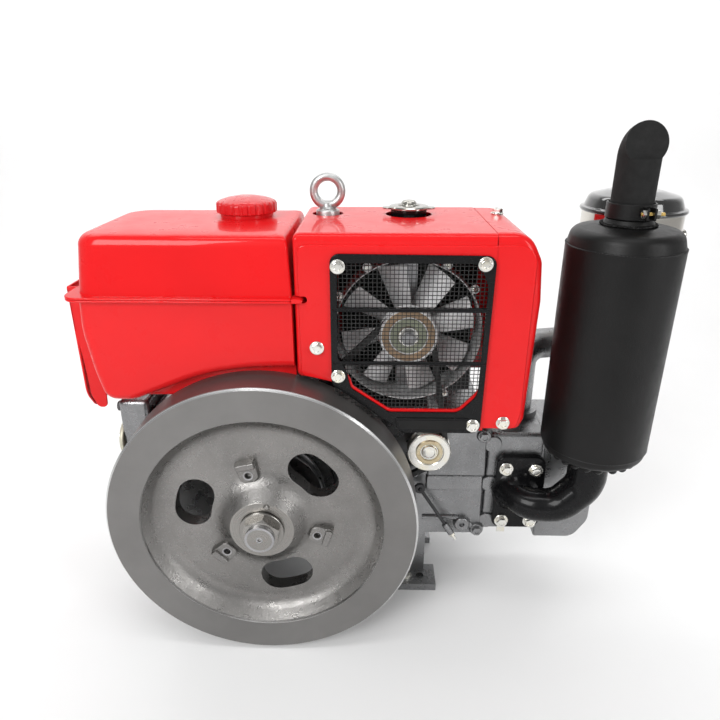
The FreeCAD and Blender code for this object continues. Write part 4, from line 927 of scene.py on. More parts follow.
def make_end_cover():
    """End cover beside the hood, swept over its top corner, with a raised panel on its front."""
    x = low("end_cover").x
    points = [(x, HOOD_LOW), (318, HOOD_LOW), (325, 388), (330, 560), (326, 612), (308, HOOD_TOP),
              (x, HOOD_TOP)]
    shares = [1, 1, 1, 1, 1, 1, 0.06]
    shell = pressed("cover_shell", points, [1, 12, 14, 60, 26, 40, 1], SIDE_FRONT + 5.2, SIDE_BACK - 2,
                    (11, 11), RED,
                    shares)
    inner, _ = moved_in(points, [-20, 2.2, 2.2, 2.2, 2.2, 2.2, -20])
    void = pressed("cover_void", inner, [1, 10, 12, 58, 24, 38, 1], SIDE_FRONT + 7.4, SIDE_BACK - 4.2, (9, 9),
                   RED)
    combine(shell, [void])
    panel = pressed("cover_raised", [(x, 376), (313, 376), (318, 400), (318, 634), (x, 634)],
                    [1, 10, 12, 24, 1],
                    SIDE_FRONT + 3, SIDE_FRONT + 6.4, (1.8, 0), RED, [1, 1, 1, 1, 0.05])
    combine(shell, [panel], "UNION")
    done(shell, "root", "red_paint", "end_cover", angle=40)


def make_grille():
    """Grille frame, its two round bars, the blank plate and the woven wire mesh."""
    outer = rounded_line([(57, 445), (156, 372), (262, 372), (266, 622), (57, 624)], [12, 8, 12, 12, 12], 8)
    plate = prism("grille_plate", outer, SIDE_FRONT - 4.2, SIDE_FRONT - 0.2, "y", BLACK)
    opening = rounded_line(window_corners(), [8, 8, 10, 14, 18, 26, 30, 16, 8], 6)
    combine(plate, [prism("opening", opening, SIDE_FRONT - 9, SIDE_FRONT + 5, "y", BLACK)])
    bevel(plate, 1.2, 3, 40)
    parts = [plate]
    for level in (551, 477):
        parts.append(rod("grille_bar", (60, SIDE_FRONT - 3.2, level), (262, SIDE_FRONT - 3.2, level), 2.8,
                         BLACK, 24, 1.0))
    badge = rounded_line([(148, 376), (246, 376), (246, 396), (143, 396)], [3] * 4, 5)
    parts.append(bevel(prism("grille_badge", badge, SIDE_FRONT - 5.8, SIDE_FRONT - 4, "y", BLACK), 0.8, 3))
    field = rounded_line([(151, 379), (243, 379), (243, 393), (147, 393)], [2] * 4, 5)
    parts.append(bevel(prism("grille_field", field, SIDE_FRONT - 6.3, SIDE_FRONT - 5.6, "y", SATIN), 0.3, 2))
    done(joined("grille_frame_fine", parts), "root", "black_paint", "grille_frame", angle=40)
    make_wires()


def make_wires():
    """Woven wires behind the window, one thin square bar each, passing over and under."""
    pitch, radius, sway = 5.5, 0.42, 0.45
    left, right, bottom, top = 62, 261, 393, 616
    level = SIDE_FRONT + 3.4
    verts, faces = [], []
    columns = int((right - left) / pitch)
    rows = int((top - bottom) / pitch)

    def wire(points, across):
        base = len(verts)
        for point in points:
            for side, depth in ((-1, -1), (1, -1), (1, 1), (-1, 1)):
                verts.append(point + across * side * radius + Vector((0, depth * radius, 0)))
        faces.extend(tuple(base + index for index in face) for face in ring_faces(len(points), 4))

    for column in range(columns + 1):
        x = left + column * pitch
        points = [Vector((x, level + sway * (1 if (row + column) % 2 else -1), bottom + row * pitch))
                  for row in range(rows + 1)]
        wire(points, Vector((1, 0, 0)))
    for row in range(rows + 1):
        z = bottom + row * pitch
        points = [Vector((left + column * pitch, level - sway * (1 if (row + column) % 2 else -1), z))
                  for column in range(columns + 1)]
        wire(points, Vector((0, 0, 1)))
    mesh = new_object("grille_wires", verts, faces, WIRE)
    done(mesh, "root", "mesh_wire", "grille_mesh")


def make_fan():
    """Cast fan: hub and eight twisted blades, with its pulley and nut in front."""
    hub_front = low("fan").y
    hub = lathe("fan_hub", [(8.2, 2), (20, 2), (24, 5), (25, 12), (25, 32), (22, 36), (8.2, 36)],
                (FAN.x, hub_front, FAN.z), "y", [ALLOY], 64)
    blades = 8
    parts = [hub] + [fan_blade(number, hub_front + 19) for number in range(blades)]
    done(joined("fan_fine", parts), "fan", "fan_alloy", "fan", angle=35)
    parts = [lathe("fan_pulley_body", v_groove(38, 8.2, 9, dish=22), FAN, "y", [ALLOY], 96, closed=True),
             lathe("fan_pulley_face",
                   [(27.6, -6), (27.6, -8.6), (28.4, -9.2), (36, -9.4), (37.4, -8.6), (37.4, -7)], FAN,
                   "y", [TAN], 96, closed=True),
             # Painted shade: a flat near-black ring at the bottom of the gap between the disc and the face.
             lathe("fan_pulley_gap_shade", [(9, -7.2), (27.6, -7.2)], FAN, "y", [SOOT_AND_SHADE], 96),
             lathe("fan_pulley_disc", [(9, -7), (25.6, -7), (25.6, -8.2), (24.8, -8.8), (9, -8.8)], FAN, "y",
                   [OLIVE], 96,
                   closed=True),
             lathe("fan_cup", [(5, -8.6), (14.6, -8.6), (15.4, -9.2), (14.2, -11.2), (12.4, -11.6),
                               (5, -11.2)], FAN, "y",
                   [ZINC], 64, closed=True),
             hex_head("fan_nut", FAN + Vector((0, -11, 0)), "-y", 17, 7, ZINC)]
    done(joined("fan_pulley_fine", parts), "fan", "tan_plate", "fan_pulley", angle=35)


def fan_blade(number, mid_y):
    """One blade: a thick curved sheet, wide at its tip and twisted along its length."""
    outward, side = spoke(45 * number + 12)
    rows, columns, verts, faces = 9, 7, [], []
    for layer in (-1, 1):
        for row in range(rows):
            part = row / (rows - 1)
            radius = 22 + (95.5 - 22) * part
            width = 30 + 17 * part
            pitch = math.radians(40 - 14 * part)
            for column in range(columns):
                across = column / (columns - 1) - 0.5
                camber = 3.0 * (1 - 4 * across * across)
                run = across * width
                y = mid_y + run * math.sin(pitch) - camber * math.cos(pitch) + layer * 0.9
                shift = run * math.cos(pitch) + camber * math.sin(pitch) + 5 * part
                reach = radius - (2.5 * (2 * across) ** 2 if row == rows - 1 else 0)
                verts.append(Vector((FAN.x, y, FAN.z)) + outward * reach + side * shift)
    size = rows * columns
    for row in range(rows - 1):
        for column in range(columns - 1):
            here = row * columns + column
            faces.append((here, here + 1, here + columns + 1, here + columns))
            faces.append((size + here, size + here + columns, size + here + columns + 1, size + here + 1))
    ring = list(range(columns))
    ring += [row * columns + columns - 1 for row in range(1, rows)]
    ring += [(rows - 1) * columns + column for column in range(columns - 2, -1, -1)]
    ring += [row * columns for row in range(rows - 2, 0, -1)]
    for here, nxt in zip(ring, ring[1:] + ring[:1]):
        faces.append((here, nxt, size + nxt, size + here))
    return new_object("fan_blade_%d" % number, verts, faces, ALLOY)


def v_groove(belt_radius, bore, half, dish=0.0):
    """Section of a V-belt pulley about the middle of its groove."""
    rim = belt_radius + 2.8
    floor = belt_radius - 8.3
    points = [(bore, -half + 2), (max(dish, bore + 8), -half + 2), (rim - 6, -half + 1), (rim - 1.5, -half),
              (rim, -half + 1.4),
              (rim, -7.8), (rim - 0.6, -7.2), (floor, -4.6), (floor, 4.6), (rim - 0.6, 7.2), (rim, 7.8),
              (rim, half - 1.4),
              (rim - 1.5, half), (bore, half)]
    return points


def make_pulleys():
    """Idler on its arm, and the crank pulley behind the flywheel."""
    parts = [lathe("idler_body", v_groove(30, 6.2, 9, dish=15), IDLER, "y", [ZINC], 96, closed=True),
             lathe("idler_face",
                   [(21.4, -6), (21.4, -8.6), (22.2, -9.2), (30, -9.2), (30.6, -8.6), (30.6, -7)], IDLER, "y",
                   [ZINC], 96, closed=True),
             lathe("idler_ring",
                   [(13, -6.4), (14, -8.4), (15.4, -9.0), (19.6, -9.0), (20.4, -8.2), (20.6, -6.4)], IDLER,
                   "y", [YELLOW_ZINC], 96),
             lathe("idler_cap",
                   [(13, -6.4), (12, -6.8), (11.6, -8.8), (10.8, -9.8), (8.6, -10.2), (8, -9.4), (6, -9.8),
                                 (0, -10.4)], IDLER, "y", [ZINC], 64)]
    done(joined("idler_pulley_fine", parts), "idler", "zinc_plate", "idler_pulley", angle=35)
    middle_y = middle("crank_pulley").y
    crank = lathe("crank_pulley_body", v_groove(80, 21.2, 12, dish=60), (CRANK.x, middle_y, CRANK.z), "y",
                  [STEEL], 128,
                  closed=True)
    done(crank, "crank", "grey_casting", "crank_pulley", angle=35)


def make_tension_rod():
    """Thin tension rod with its sleeve and the bright threaded end."""
    start, end = low("tension_rod"), high("tension_rod")
    first = Vector((start.x + 6, start.y + 7, end.z - 6))
    last = Vector((end.x - 3, start.y + 7, start.z + 2))
    along = (last - first).normalized()
    knee = last - along * 34
    parts = [rod("rod_shank", first, knee, 2.7, DARK, 24),
             rod("rod_sleeve", knee - along * 2, last - along * 14, 5.4, CAST, 32, 1.2),
             rod("rod_end", last - along * 15, last, 2.8, ZINC, 24, 0.8),
             hex_head("rod_nut", last - along * 14, along, 9, 4, ZINC, recess=False),
             lathe("rod_eye", [(3.4, -3), (8, -3), (8.6, -2.2), (8.6, 2.2), (8, 3), (3.4, 3)], first, "y",
                   [DARK], 40,
                   closed=True)]
    done(joined("tension_rod_fine", parts), "root", "dark_steel", "tension_rod", angle=35)


def make_shroud():
    """Ring round the fan with its tabs and screws, on a dark cowl plate."""
    inner = 103.2
    y = low("fan_shroud").y
    ring = lathe("shroud_ring", [(inner, 0), (inner + 1.4, 0), (inner + 1.4, 54), (inner, 54)],
                 (FAN.x, y, FAN.z), "y",
                 [ALLOY], 144, closed=True)
    parts = [ring]
    for degrees in (35, 62, 122, 152, 215, 300):
        turn = math.radians(degrees)
        at = Vector((FAN.x + (inner + 7) * math.cos(turn), y + 4, FAN.z + (inner + 7) * math.sin(turn)))
        parts.append(lathe("shroud_tab", [(0, 0), (5.6, 0), (6.4, 0.6), (6.4, 2.6), (0, 2.6)], at, "-y",
                           [ALLOY], 32))
        parts.append(hex_head("shroud_screw", at, "-y", 7, 2.5, ZINC, lift=2.4, phase=turn))
    done(joined("fan_shroud_fine", parts), "root", "fan_alloy", "fan_shroud")
    cowl_y = high("fan_shroud").y - 3
    plate = prism("cowl", [(62, 384), (262, 384), (262, 636), (62, 636)], cowl_y, cowl_y + 1.5, "y", BLACK)
    combine(plate,
            [rod("cowl_hole", (FAN.x, cowl_y - 5, FAN.z), (FAN.x, cowl_y + 5, FAN.z), inner - 1, BLACK, 96)])
    done(plate, "root", "radiator_paint")


def make_radiator():
    """Radiator core with flat tubes and close fins, between two tanks."""
    base, top = low("radiator"), high("radiator")
    front, back = base.y + 6, top.y - 6
    parts = []
    fins, fin_pitch = 46, 4.05
    for number in range(fins):
        z = 404 + number * fin_pitch
        parts.append(block("fin", (73, front, z), (255, back, z + 0.5), FINS))
    tubes, tube_pitch = 14, 13.5
    for number in range(tubes):
        x = 76 + number * tube_pitch
        parts.append(block("tube", (x, front - 1.5, 402), (x + 3, back + 1.5, 588), FINS))
    upper = bevel(block("tank_high", (66, base.y, 588), (260, top.y, 630), BLACK), 7, 4)
    lower = bevel(block("tank_low", (66, base.y, 380), (260, top.y, 402), BLACK), 5, 4)
    sides = [block("side", (66, base.y + 3, 400), (72, top.y - 3, 590), BLACK),
             block("side", (256, base.y + 3, 400), (260, top.y - 3, 590), BLACK)]
    neck_at = middle("radiator_cap")
    neck = lathe("neck",
                 [(33, -4), (33, -1.5), (24, -1), (23, 8), (26, 22), (26, 24.6), (17, 24.6), (17, -20)],
                 (neck_at.x, neck_at.y, 630), "z", [BLACK], 64)
    done(joined("radiator_fine", parts + sides + [upper, lower, neck]), "root", "radiator_paint", "radiator",
         angle=35)
    make_radiator_cap(neck_at)


def make_radiator_cap(at):
    """Chromed pressure cap with two ears and a small valve dome."""
    base = low("radiator_cap").z
    disc = lathe("cap_disc", [(0, 0.2), (28, 0.2), (29, 1), (29, 3), (27.6, 4.6), (20, 5.6), (16, 5.6),
                              (15, 7), (11.5, 7.6),
                              (10.5, 10), (8, 12), (3, 12.8), (0, 12.8)], (at.x, at.y, base), "z", [CHROME],
                              72)
    shape = rounded_plan(at.x - 38, at.x + 38, at.y - 9, at.y + 9, [8.5] * 4, 6)
    ears = prism("cap_ears", shape, base + 0.3, base + 2.8, "z", CHROME)
    bevel(ears, 0.8, 3)
    done(joined("radiator_cap_fine", [disc, ears]), "radiator_cap", "chrome_cap", "radiator_cap", angle=35)


# ------------------------------------------------------------------ exhaust and air cleaner

def weld_bead(name, centre, radius, width, material):
    """Hand-laid weld bead round a seam."""
    count, around = 360, 8
    verts = []
    for step in range(count):
        turn = 2 * math.pi * step / count
        size = width * (0.8 + 0.2 * math.sin(step * 1.9) + 0.16 * random.random())
        for corner in range(around):
            spin = 2 * math.pi * corner / around
            reach = radius + size * math.cos(spin)
            verts.append((centre[0] + reach * math.cos(turn), centre[1] + reach * math.sin(turn),
                          centre[2] + size * math.sin(spin) + 0.35 * math.sin(turn * 5)))
    return new_object(name, verts, torus_faces(count, around), material)


def make_muffler():
    """Upright silencer: rolled shell, domed ends, weld beads and a crimped bottom edge."""
    base, top = low("muffler").z, high("muffler").z
    radius = MUFFLER_RADIUS
    seam_low, seam_high = base + 26, top - 34
    corners = [(0, base, 0), (32, base, 0), (34, base + 3, 2), (58, base + 5, 6), (radius - 3, base + 14, 10),
               (radius - 1.5, seam_low - 2, 4), (radius, seam_low, 0.5), (radius, seam_high, 0.5),
               (radius - 1.4, seam_high + 1, 0.5), (radius - 6, seam_high + 20, 14), (42, seam_high + 26, 12),
               (34, seam_high + 25.5, 3), (31, seam_high + 29, 2), (28.6, top, 1), (0, top, 0)]
    profile = softened(corners, 8)
    at = (MUFFLER.x, MUFFLER.y, 0)
    shell = lathe("muffler_shell", profile, at, "z", [SATIN], 128)
    beads = [weld_bead("weld_high", (MUFFLER.x, MUFFLER.y, seam_high), radius - 0.8, 1.3, SATIN),
             weld_bead("weld_low", (MUFFLER.x, MUFFLER.y, seam_low), radius - 0.8, 1.1, SATIN),
             weld_bead("weld_neck", (MUFFLER.x, MUFFLER.y, seam_high + 27), 33, 2.2, SATIN)]
    crimps, crimp_count = [], 22
    for step in range(crimp_count):
        turn = 2 * math.pi * (step + 0.3 * random.random()) / crimp_count
        spot = Vector((MUFFLER.x + 58 * math.cos(turn), MUFFLER.y + 58 * math.sin(turn), base + 5.5))
        crimps.append(lathe("crimp", [(0, -3.5), (4.0, -2.6), (6.0, 0), (6.4, 3), (0, 8)], spot, "z", [SATIN],
                            20))
    done(joined("muffler_fine", [shell] + beads + crimps), "root", "muffler_paint", "muffler", angle=40)


def make_outlet():
    """Outlet elbow with its slanted mouth, slit and the clamp that holds it."""
    base, top = low("outlet_elbow"), high("outlet_elbow")
    radius = (top.x - base.x) / 2
    x, y = MUFFLER.x, MUFFLER.y
    route = bent_path([(x, y, base.z), (x, y, top.z - radius), (x + 1, base.y, top.z - radius)], 34, 14)
    tube = pipe("elbow_tube", route, radius - 0.3, SATIN, 72, wall=2.0)
    slit = block("slit", (x + 7, y - 40, base.z - 5), (x + 8.6, y, base.z + 66), SOOT_AND_SHADE)
    apply_all(tube)
    combine(tube, [slit])
    bevel(tube, 0.5, 2, 50)
    # Soot and painted shade: a near-black core fills the elbow behind its mouth, for the soot and the shade
    # deep inside the pipe.
    dark = pipe("elbow_soot_and_shade", route[:-2], radius - 2.6, SOOT_AND_SHADE, 48)
    done(joined("outlet_elbow_fine", [tube, dark]), "root", "muffler_paint", "outlet_elbow", angle=40)
    band = lathe("clamp_band", [(28, 1), (29.6, 1), (30, 1.6), (30, 19.4), (29.6, 20), (28, 20)],
                 (x, y, base.z), "z",
                 [SATIN], 96, closed=True)
    parts = [band]
    for shift in (3.2, 12.5):
        ear = block("clamp_ear", (x + shift, y - 43, base.z + 3), (x + shift + 3, y - 27.5, base.z + 18),
                    SATIN)
        parts.append(bevel(ear, 1.2, 3))
    parts.append(rod("clamp_screw", (x - 2, y - 37, base.z + 10.5), (x + 27, y - 37, base.z + 10.5), 2.4,
                     BRASS, 24, 0.6))
    parts.append(hex_head("clamp_nut", (x + 15.4, y - 37, base.z + 10.5), "x", 10, 5, ZINC, recess=False))
    parts.append(hex_head("clamp_head", (x + 3.2, y - 37, base.z + 10.5), "-x", 10, 4, ZINC))
    done(joined("outlet_clamp_fine", parts), "root", "black_paint", "outlet_clamp")


def make_exhaust_elbow():
    """Flange on the head, and the elbow that sweeps out of it and climbs into the silencer."""
    top = high("exhaust_elbow").z
    face = high("exhaust_elbow").y
    outline = rounded_plan(309, 387, 154, 287, [14, 18, 18, 14], 8)
    flange = prism("exhaust_plate", outline, face - 12, face, "y", BLACK)
    bevel(flange, 2.5, 4)
    route = bent_path([(330, face - 6, 228), (352, -162, 219), (400, -171, 222), (437, -171, 262),
                       (MUFFLER.x, MUFFLER.y, top)], 46, 16)
    tube = pipe("exhaust_tube", route, (24, 29), BLACK, 64)
    root = lathe("exhaust_root",
                 [(0, -10), (37, -11.6), (33, -14), (29, -20), (24, -27), (14, -33), (0, -35)],
                 (342, face, 224), "y", [BLACK], 64)
    tab = bevel(block("exhaust_tab", (318, face - 13.4, 146), (331, face - 12, 160), ZINC), 0.6, 2)
    done(joined("exhaust_elbow_fine", [flange, tube, root, tab]), "root", "black_paint", "exhaust_elbow",
         angle=40)


def make_air_cleaner():
    """Bright bowl, glossy domed lid with a rolled rim, and the knob on its side."""
    base, top = low("air_cleaner_bowl"), high("air_cleaner_bowl")
    at = Vector((CLEANER.x, CLEANER.y, 0))
    radius = (high("air_cleaner_bowl").y - base.y) / 2
    corners = [(0, base.z, 0), (radius - 16, base.z, 8), (radius, base.z + 16, 12), (radius, top.z - 70, 2),
               (radius - 1.2, top.z - 68, 2),
               (radius - 1.2, top.z - 62, 2), (radius, top.z - 60, 2), (radius, top.z, 0), (0, top.z, 0)]
    profile = softened(corners, 6)
    bowl = lathe("cleaner_bowl", profile, at, "z", [BRIGHT], 128)
    knob_at = at + Vector((radius - 2, 0, low("air_cleaner_lid").z - 36))
    knob = lathe("cleaner_knob", [(3.5, 0), (3.5, 5), (7, 5.6), (7.6, 7), (7.6, 13), (6.8, 14), (3, 14.4),
                                  (3, 16.6), (0, 17)],
                 knob_at, "x", [CHROME], 40)
    done(joined("air_cleaner_bowl_fine", [bowl, knob]), "root", "bright_steel", "air_cleaner_bowl", angle=40)
    lid_base = low("air_cleaner_lid").z
    lid_top = high("air_cleaner_lid").z
    outer = (high("air_cleaner_lid").y - low("air_cleaner_lid").y) / 2
    height = lid_top - lid_base
    corners = [(radius - 4, lid_base + 0.5, 0), (outer - 1.5, lid_base + 0.4, 1.5),
               (outer, lid_base + 3, 2.2),
               (outer - 1.2, lid_base + 6, 2), (outer - 6, lid_base + 7.4, 2),
               (outer - 12, lid_base + height * 0.72, 12),
               (outer - 40, lid_top - 1.5, 30), (8, lid_top, 4), (0, lid_top, 0)]
    profile = softened(corners, 8)
    lid = lathe("air_cleaner_lid_fine", profile, at, "z", [GLOSS], 128)
    done(lid, "root", "black_lid", "air_cleaner_lid", angle=40)


# ------------------------------------------------------------------ castings

def make_castings():
    """Hollow crankcase and block with cast pads, ribs, bosses and left housing; inspection cover."""
    front, back = low("crankcase").y + 8, high("crankcase").y - 2
    upper_shape = [(-245, 125), (-228, 112), (192, 112), (200, 135), (292, 135), (292, 335), (216, 335),
                   (200, 368),
                   (-213, 368), (-245, 338)]
    upper = prism("case_upper", rounded_line(upper_shape, [10, 8, 8, 12, 4, 4, 16, 14, 14, 14], 6), front,
                  back, "y", CAST)
    sump_shape = rounded_line([(-240, 122), (-215, 42), (180, 42), (199, 62), (199, 122)], [6, 16, 16, 10, 0],
                              6)
    sump = prism("case_sump", sump_shape, -65, back - 1, "y", CAST)
    housing = prism("case_housing", [(-288, 240), (-240, 240), (-240, 366), (-288, 366)], -112, 0, "y", CAST)
    shelf = prism("case_shelf",
                  [(front - 9, 253), (front + 4, 253), (front + 4, 334), (front - 1, 334), (front - 2, 302),
                                 (front - 9, 264)], 200, 291, "x", CAST)
    pad = prism("case_pad", rounded_plan(199, 289, 223, 251, [5] * 4, 5),
                front - 5.5,
                front + 5, "y", CAST)
    for piece, width in ((upper, 5), (sump, 5), (housing, 8), (shelf, 3), (pad, 2.6)):
        bevel(piece, width, 4, 40)
        apply_all(piece)
    room = [(-230, 120), (186, 120), (186, 354), (-205, 354), (-230, 328)]
    combine(upper, [prism("case_room", room, front + 18, back + 10, "y", CAST)])
    combine(upper,
            [rod("front_bore", (CRANK.x, front - 10, CRANK.z), (CRANK.x, front + 30, CRANK.z), 62, CAST, 96)])
    liner = (low("cylinder_liner") + high("cylinder_liner")) / 2
    bore = (high("cylinder_liner").z - low("cylinder_liner").z) / 2
    combine(upper, [rod("liner_bore", (170, liner.y, liner.z), (300, liner.y, liner.z), bore, CAST, 96)])
    parts = [upper, sump, housing, shelf, pad]
    rib_line = rounded_line([(196, 168), (250, 168), (272, 160), (286, 136)], [0, 20, 24, 0], 5, closed=False)
    parts.append(pipe("case_rib", [Vector((x, front, z)) for x, z in rib_line], 4.5, CAST, 20))
    parts.append(lathe("case_boss", [(0, -3), (4, -3), (4.6, -7.4), (11, -8), (12.6, -6.8), (14.5, 1)],
                       (261, front, 158),
                       "y", [CAST], 40))
    for x, z, radius in ((286, 322, 11), (286, 146, 11), (212, 320, 12), (-222, 330, 14), (-226, 140, 14)):
        parts.append(lathe("case_lobe", [(0, -5), (radius - 1.5, -5), (radius, -3.6), (radius + 3, 6)],
                           (x, front, z), "y",
                           [CAST], 40))
        parts.append(hex_head("case_bolt", (x, front - 5, z), "-y", 13, 6, CAST))
    for y, z in ((-96, 350), (-60, 344), (-24, 350)):
        parts.append(hex_head("housing_bolt", (-287, y, z), "-x", 14, 7, DARK))
    parts.append(rod("housing_stud", (-286, -104, 262), (-300, -104, 262), 4, ZINC, 24, 0.8))
    done(joined("crankcase_fine", parts), "root", "grey_casting", "crankcase", angle=40)
    cover = middle("inspection_cover")
    plate = lathe("inspection_plate",
                  [(0, 0), (33, 0), (34, 1), (34, 4), (30, 7.5), (20, 9), (16, 9), (14, 11), (0, 11)],
                  (high("inspection_cover").x, cover.y, cover.z), "-x", [CREAM], 72)
    nut = hex_head("inspection_nut", (high("inspection_cover").x - 11, cover.y, cover.z), "-x", 16, 6, ZINC,
                   recess=False)
    done(joined("inspection_cover_fine", [plate, nut]), "root", SLOT_OF["inspection_cover"],
         "inspection_cover")


def make_gear_case_trim():
    """Joint flange, bolted bosses and a round cover on the gear case."""
    joint, face = 40.5, 102
    corners = [(-235, 168), (-127, 46), (170, 46), (256, 150), (262, 400), (200, 436), (-185, 436),
               (-235, 380)]
    grown, _ = moved_in(corners, [-5] * len(corners))
    flange = prism("gear_flange", rounded_line(grown, [24] * len(corners), 6), joint, joint + 9, "y", CAST)
    inside, _ = moved_in(corners, [8] * len(corners))
    combine(flange, [prism("flange_cut", inside, joint - 5, joint + 14, "y", CAST)])
    bevel(flange, 2, 3, 40)
    parts = [flange]
    for number, corner in enumerate(grown):
        start, end = Vector(corner), Vector(grown[(number + 1) % len(corners)])
        for share in ((0.5,) if (end - start).length < 150 else (0.2, 0.8)):
            spot = start.lerp(end, share)
            parts.append(lathe("gear_boss", [(0, 26), (10, 26), (11.5, 24), (12.5, 0), (0, 0)],
                               (spot.x, joint, spot.y),
                               "y", [CAST], 32))
            parts.append(flange_bolt("gear_bolt", (spot.x, joint + 26, spot.y), "y", 13, 9.5, 6,
                                     number * 0.3))
    parts.append(lathe("gear_cover", [(62, -1), (62, 3), (58, 6), (30, 7), (24, 10), (0, 11)],
                       (CRANK.x, face, CRANK.z), "y",
                       [CAST], 96))
    cover_bolts = 6
    for number in range(cover_bolts):
        angle = 60 * number + 20
        x, z = arc((CRANK.x, CRANK.z), 50, angle, angle, 1)[0]
        parts.append(flange_bolt("cover_bolt", (x, face + 6, z), "y", 10, 8, 4.5, number * 0.5))
    done(joined("gear_case_trim", parts), "root", "grey_casting", angle=40)


def make_head():
    """Cylinder head and rocker cover."""
    base, top = low("cylinder_head"), high("cylinder_head")
    parts = [bevel(block("head_block", base, top, CAST), 7, 4)]
    for z in (160, 232, 304):
        parts.append(lathe("head_boss", [(0, 0), (13, 0), (14, -1.5), (15, -8)], (302, base.y - 3.4, z), "-y",
                           [CAST], 40))
    done(joined("cylinder_head_fine", parts), "root", "grey_casting", "cylinder_head")
    base, top = low("rocker_cover"), high("rocker_cover")
    outline = rounded_line([(base.x, base.z), (top.x - 22, base.z), (top.x, base.z + 34), (top.x, top.z - 26),
                            (top.x - 30, top.z),
                            (base.x, top.z)], [4, 22, 30, 24, 22, 4], 8)
    cover = prism("rocker_body", outline, base.y, top.y, "y", CAST)
    bevel(cover, 10, 5, 40)
    done(cover, "root", "grey_casting", "rocker_cover", angle=40)


def make_flange_bolts():
    """Zinc-plated flange bolts of the grille, covers and exhaust flange."""
    parts = []
    for number, (x, z) in enumerate(((67, 608), (252, 612), (66, 458), (251, 385))):
        parts.append(flange_bolt("bolt", (x, SIDE_FRONT - 4.2, z), "-y", *FLANGE_BOLT, number * 0.4))
    parts.append(flange_bolt("bolt", (38, SIDE_FRONT, 497), "-y", *FLANGE_BOLT, 0.3))
    parts.append(flange_bolt("bolt", (294, SIDE_FRONT + 3, 386), "-y", *FLANGE_BOLT, 0.1))
    parts.append(flange_bolt("bolt", (292, -55, HOOD_TOP), "z", *FLANGE_BOLT, 0.2))
    for number, (x, z) in enumerate(((324, 266), (370, 264), (324, 168), (370, 168))):
        parts.append(flange_bolt("bolt", (x, high("exhaust_elbow").y - 12, z), "-y", 14, 11, 7, number * 0.5))
    done(joined("flange_bolts_fine", parts), "root", "zinc_plate", "flange_bolts")


def make_lifting_eye():
    """Forged lifting eye: collar, neck and ring."""
    eye = middle("lifting_eye")
    top = high("lifting_eye").z
    ring_z = top - 26
    count, around = 96, 24
    verts = []
    for step in range(count):
        turn = 2 * math.pi * step / count
        thick = 6 + 0.9 * max(0.0, -math.sin(turn)) ** 2
        for corner in range(around):
            spin = 2 * math.pi * corner / around
            reach = 20 + thick * math.cos(spin)
            verts.append((eye.x + reach * math.cos(turn), eye.y + thick * math.sin(spin),
                          ring_z + reach * math.sin(turn)))
    ring = new_object("eye_ring", verts, torus_faces(count, around), GALVANIZED)
    collar = lathe("eye_collar", [(0, -9), (15.6, -9), (17, -8), (17, 1.5), (15.6, 3), (11.5, 4), (9, 8.5),
                                  (8.2, 12), (0, 13)],
                   (eye.x, eye.y, HOOD_TOP + 3), "z", [GALVANIZED], 64)
    post = rod("eye_post", (eye.x, eye.y, low("lifting_eye").z), (eye.x, eye.y, HOOD_TOP - 6), 12, DARK, 32,
               1)
    done(joined("lifting_eye_fine", [ring, collar, post]), "root", "galvanized", "lifting_eye", angle=50)


# ------------------------------------------------------------------ carried nodes, stage, light, camera

def finish_cad_nodes():
    """Give every node its finish, and soften the edges of those that stay in view."""
    for name, obj in frame["nodes"].items():
        obj.data.materials.clear()
        obj.data.materials.append(SLOT_FINISH[SLOT_OF[name]])
        if obj.hide_render:
            continue
        bevel(obj, 3.5 if name == "mounting_feet" else 0.8, 3, 40)


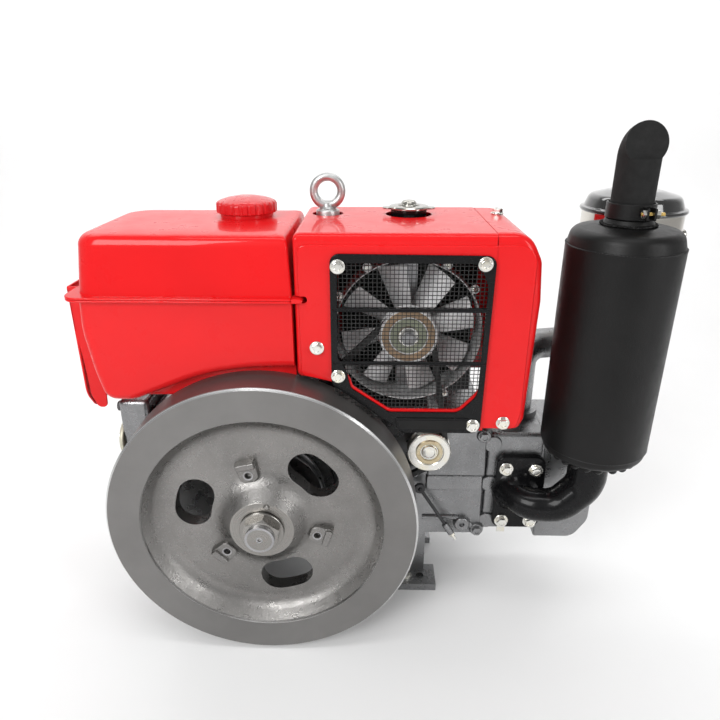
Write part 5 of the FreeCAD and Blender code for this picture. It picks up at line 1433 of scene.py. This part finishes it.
def make_stage():
    """Pale floor that sweeps up into a pale backdrop."""
    loops = []
    for side in (-8000, 8000):
        line = rounded_line([(-8000, 0), (1600, 0), (1600, 4000)], [0, 600, 0], 16, closed=False)
        loops.append([(side, y, z - 0.5) for y, z in line])
    verts = [vert for loop in loops for vert in loop]
    count = len(loops[0])
    faces = [(step, step + 1, count + step + 1, count + step) for step in range(count - 1)]
    paper = finish_of("studio_paper", (0.86, 0.86, 0.86), 0.9, mottle=0.01, mottle_scale=3)
    floor = new_object("studio_floor", verts, faces, paper)
    for polygon in floor.data.polygons:
        polygon.use_smooth = True


def area_light(name, at, target, size, power):
    """Soft rectangular lamp that faces a point."""
    data = bpy.data.lights.new(name, "AREA")
    data.shape = "RECTANGLE"
    data.size, data.size_y = size
    data.energy = power
    lamp = placed(name, data)
    lamp.location = at
    lamp.rotation_euler = (Vector(target) - Vector(at)).to_track_quat("-Z", "Y").to_euler()


def make_light():
    """Even pale surroundings with a large key, a fill and a strip for highlights."""
    world = bpy.data.worlds.new("studio")
    world.use_nodes = True
    back = world.node_tree.nodes["Background"]
    back.inputs["Color"].default_value = (1, 1, 1, 1)
    back.inputs["Strength"].default_value = 0.42
    bpy.context.scene.world = world
    bpy.context.scene.view_settings.view_transform = "Standard"
    area_light("key", (-1.3, -2.4, 1.9), (0.1, 0, 0.35), (1.2, 1.5), 55)
    area_light("fill", (2.3, -1.9, 1.3), (0.1, 0, 0.35), (0.7, 1.6), 22)
    area_light("top", (0.2, -0.9, 2.9), (0.1, 0, 0.3), (2.2, 0.5), 16)
    area_light("backdrop", (0.0, 0.9, 2.3), (0.0, 1.7, 0.2), (3.4, 0.5), 26)


def make_camera():
    """Camera a little right of the flywheel, looking down on the engine."""
    data = bpy.data.cameras.new("camera")
    data.sensor_width = 36
    data.lens = 30.63
    camera = placed("camera", data)
    camera.location = (0.1113, -0.9655, 0.7953)
    looks_down, turns_left = 22.648, 1.2147
    camera.rotation_euler = (math.radians(90 - looks_down), 0, math.radians(turns_left))
    bpy.context.scene.camera = camera


make_camera()
make_flywheel()
make_crank_end()
make_tank()
make_fuel_cap()
make_rear_panel()
make_hood()
make_end_cover()
make_grille()
make_fan()
make_pulleys()
make_tension_rod()
make_shroud()
make_radiator()
make_muffler()
make_outlet()
make_exhaust_elbow()
make_air_cleaner()
make_castings()
make_gear_case_trim()
make_head()
make_flange_bolts()
make_lifting_eye()
finish_cad_nodes()
make_stage()
make_light()
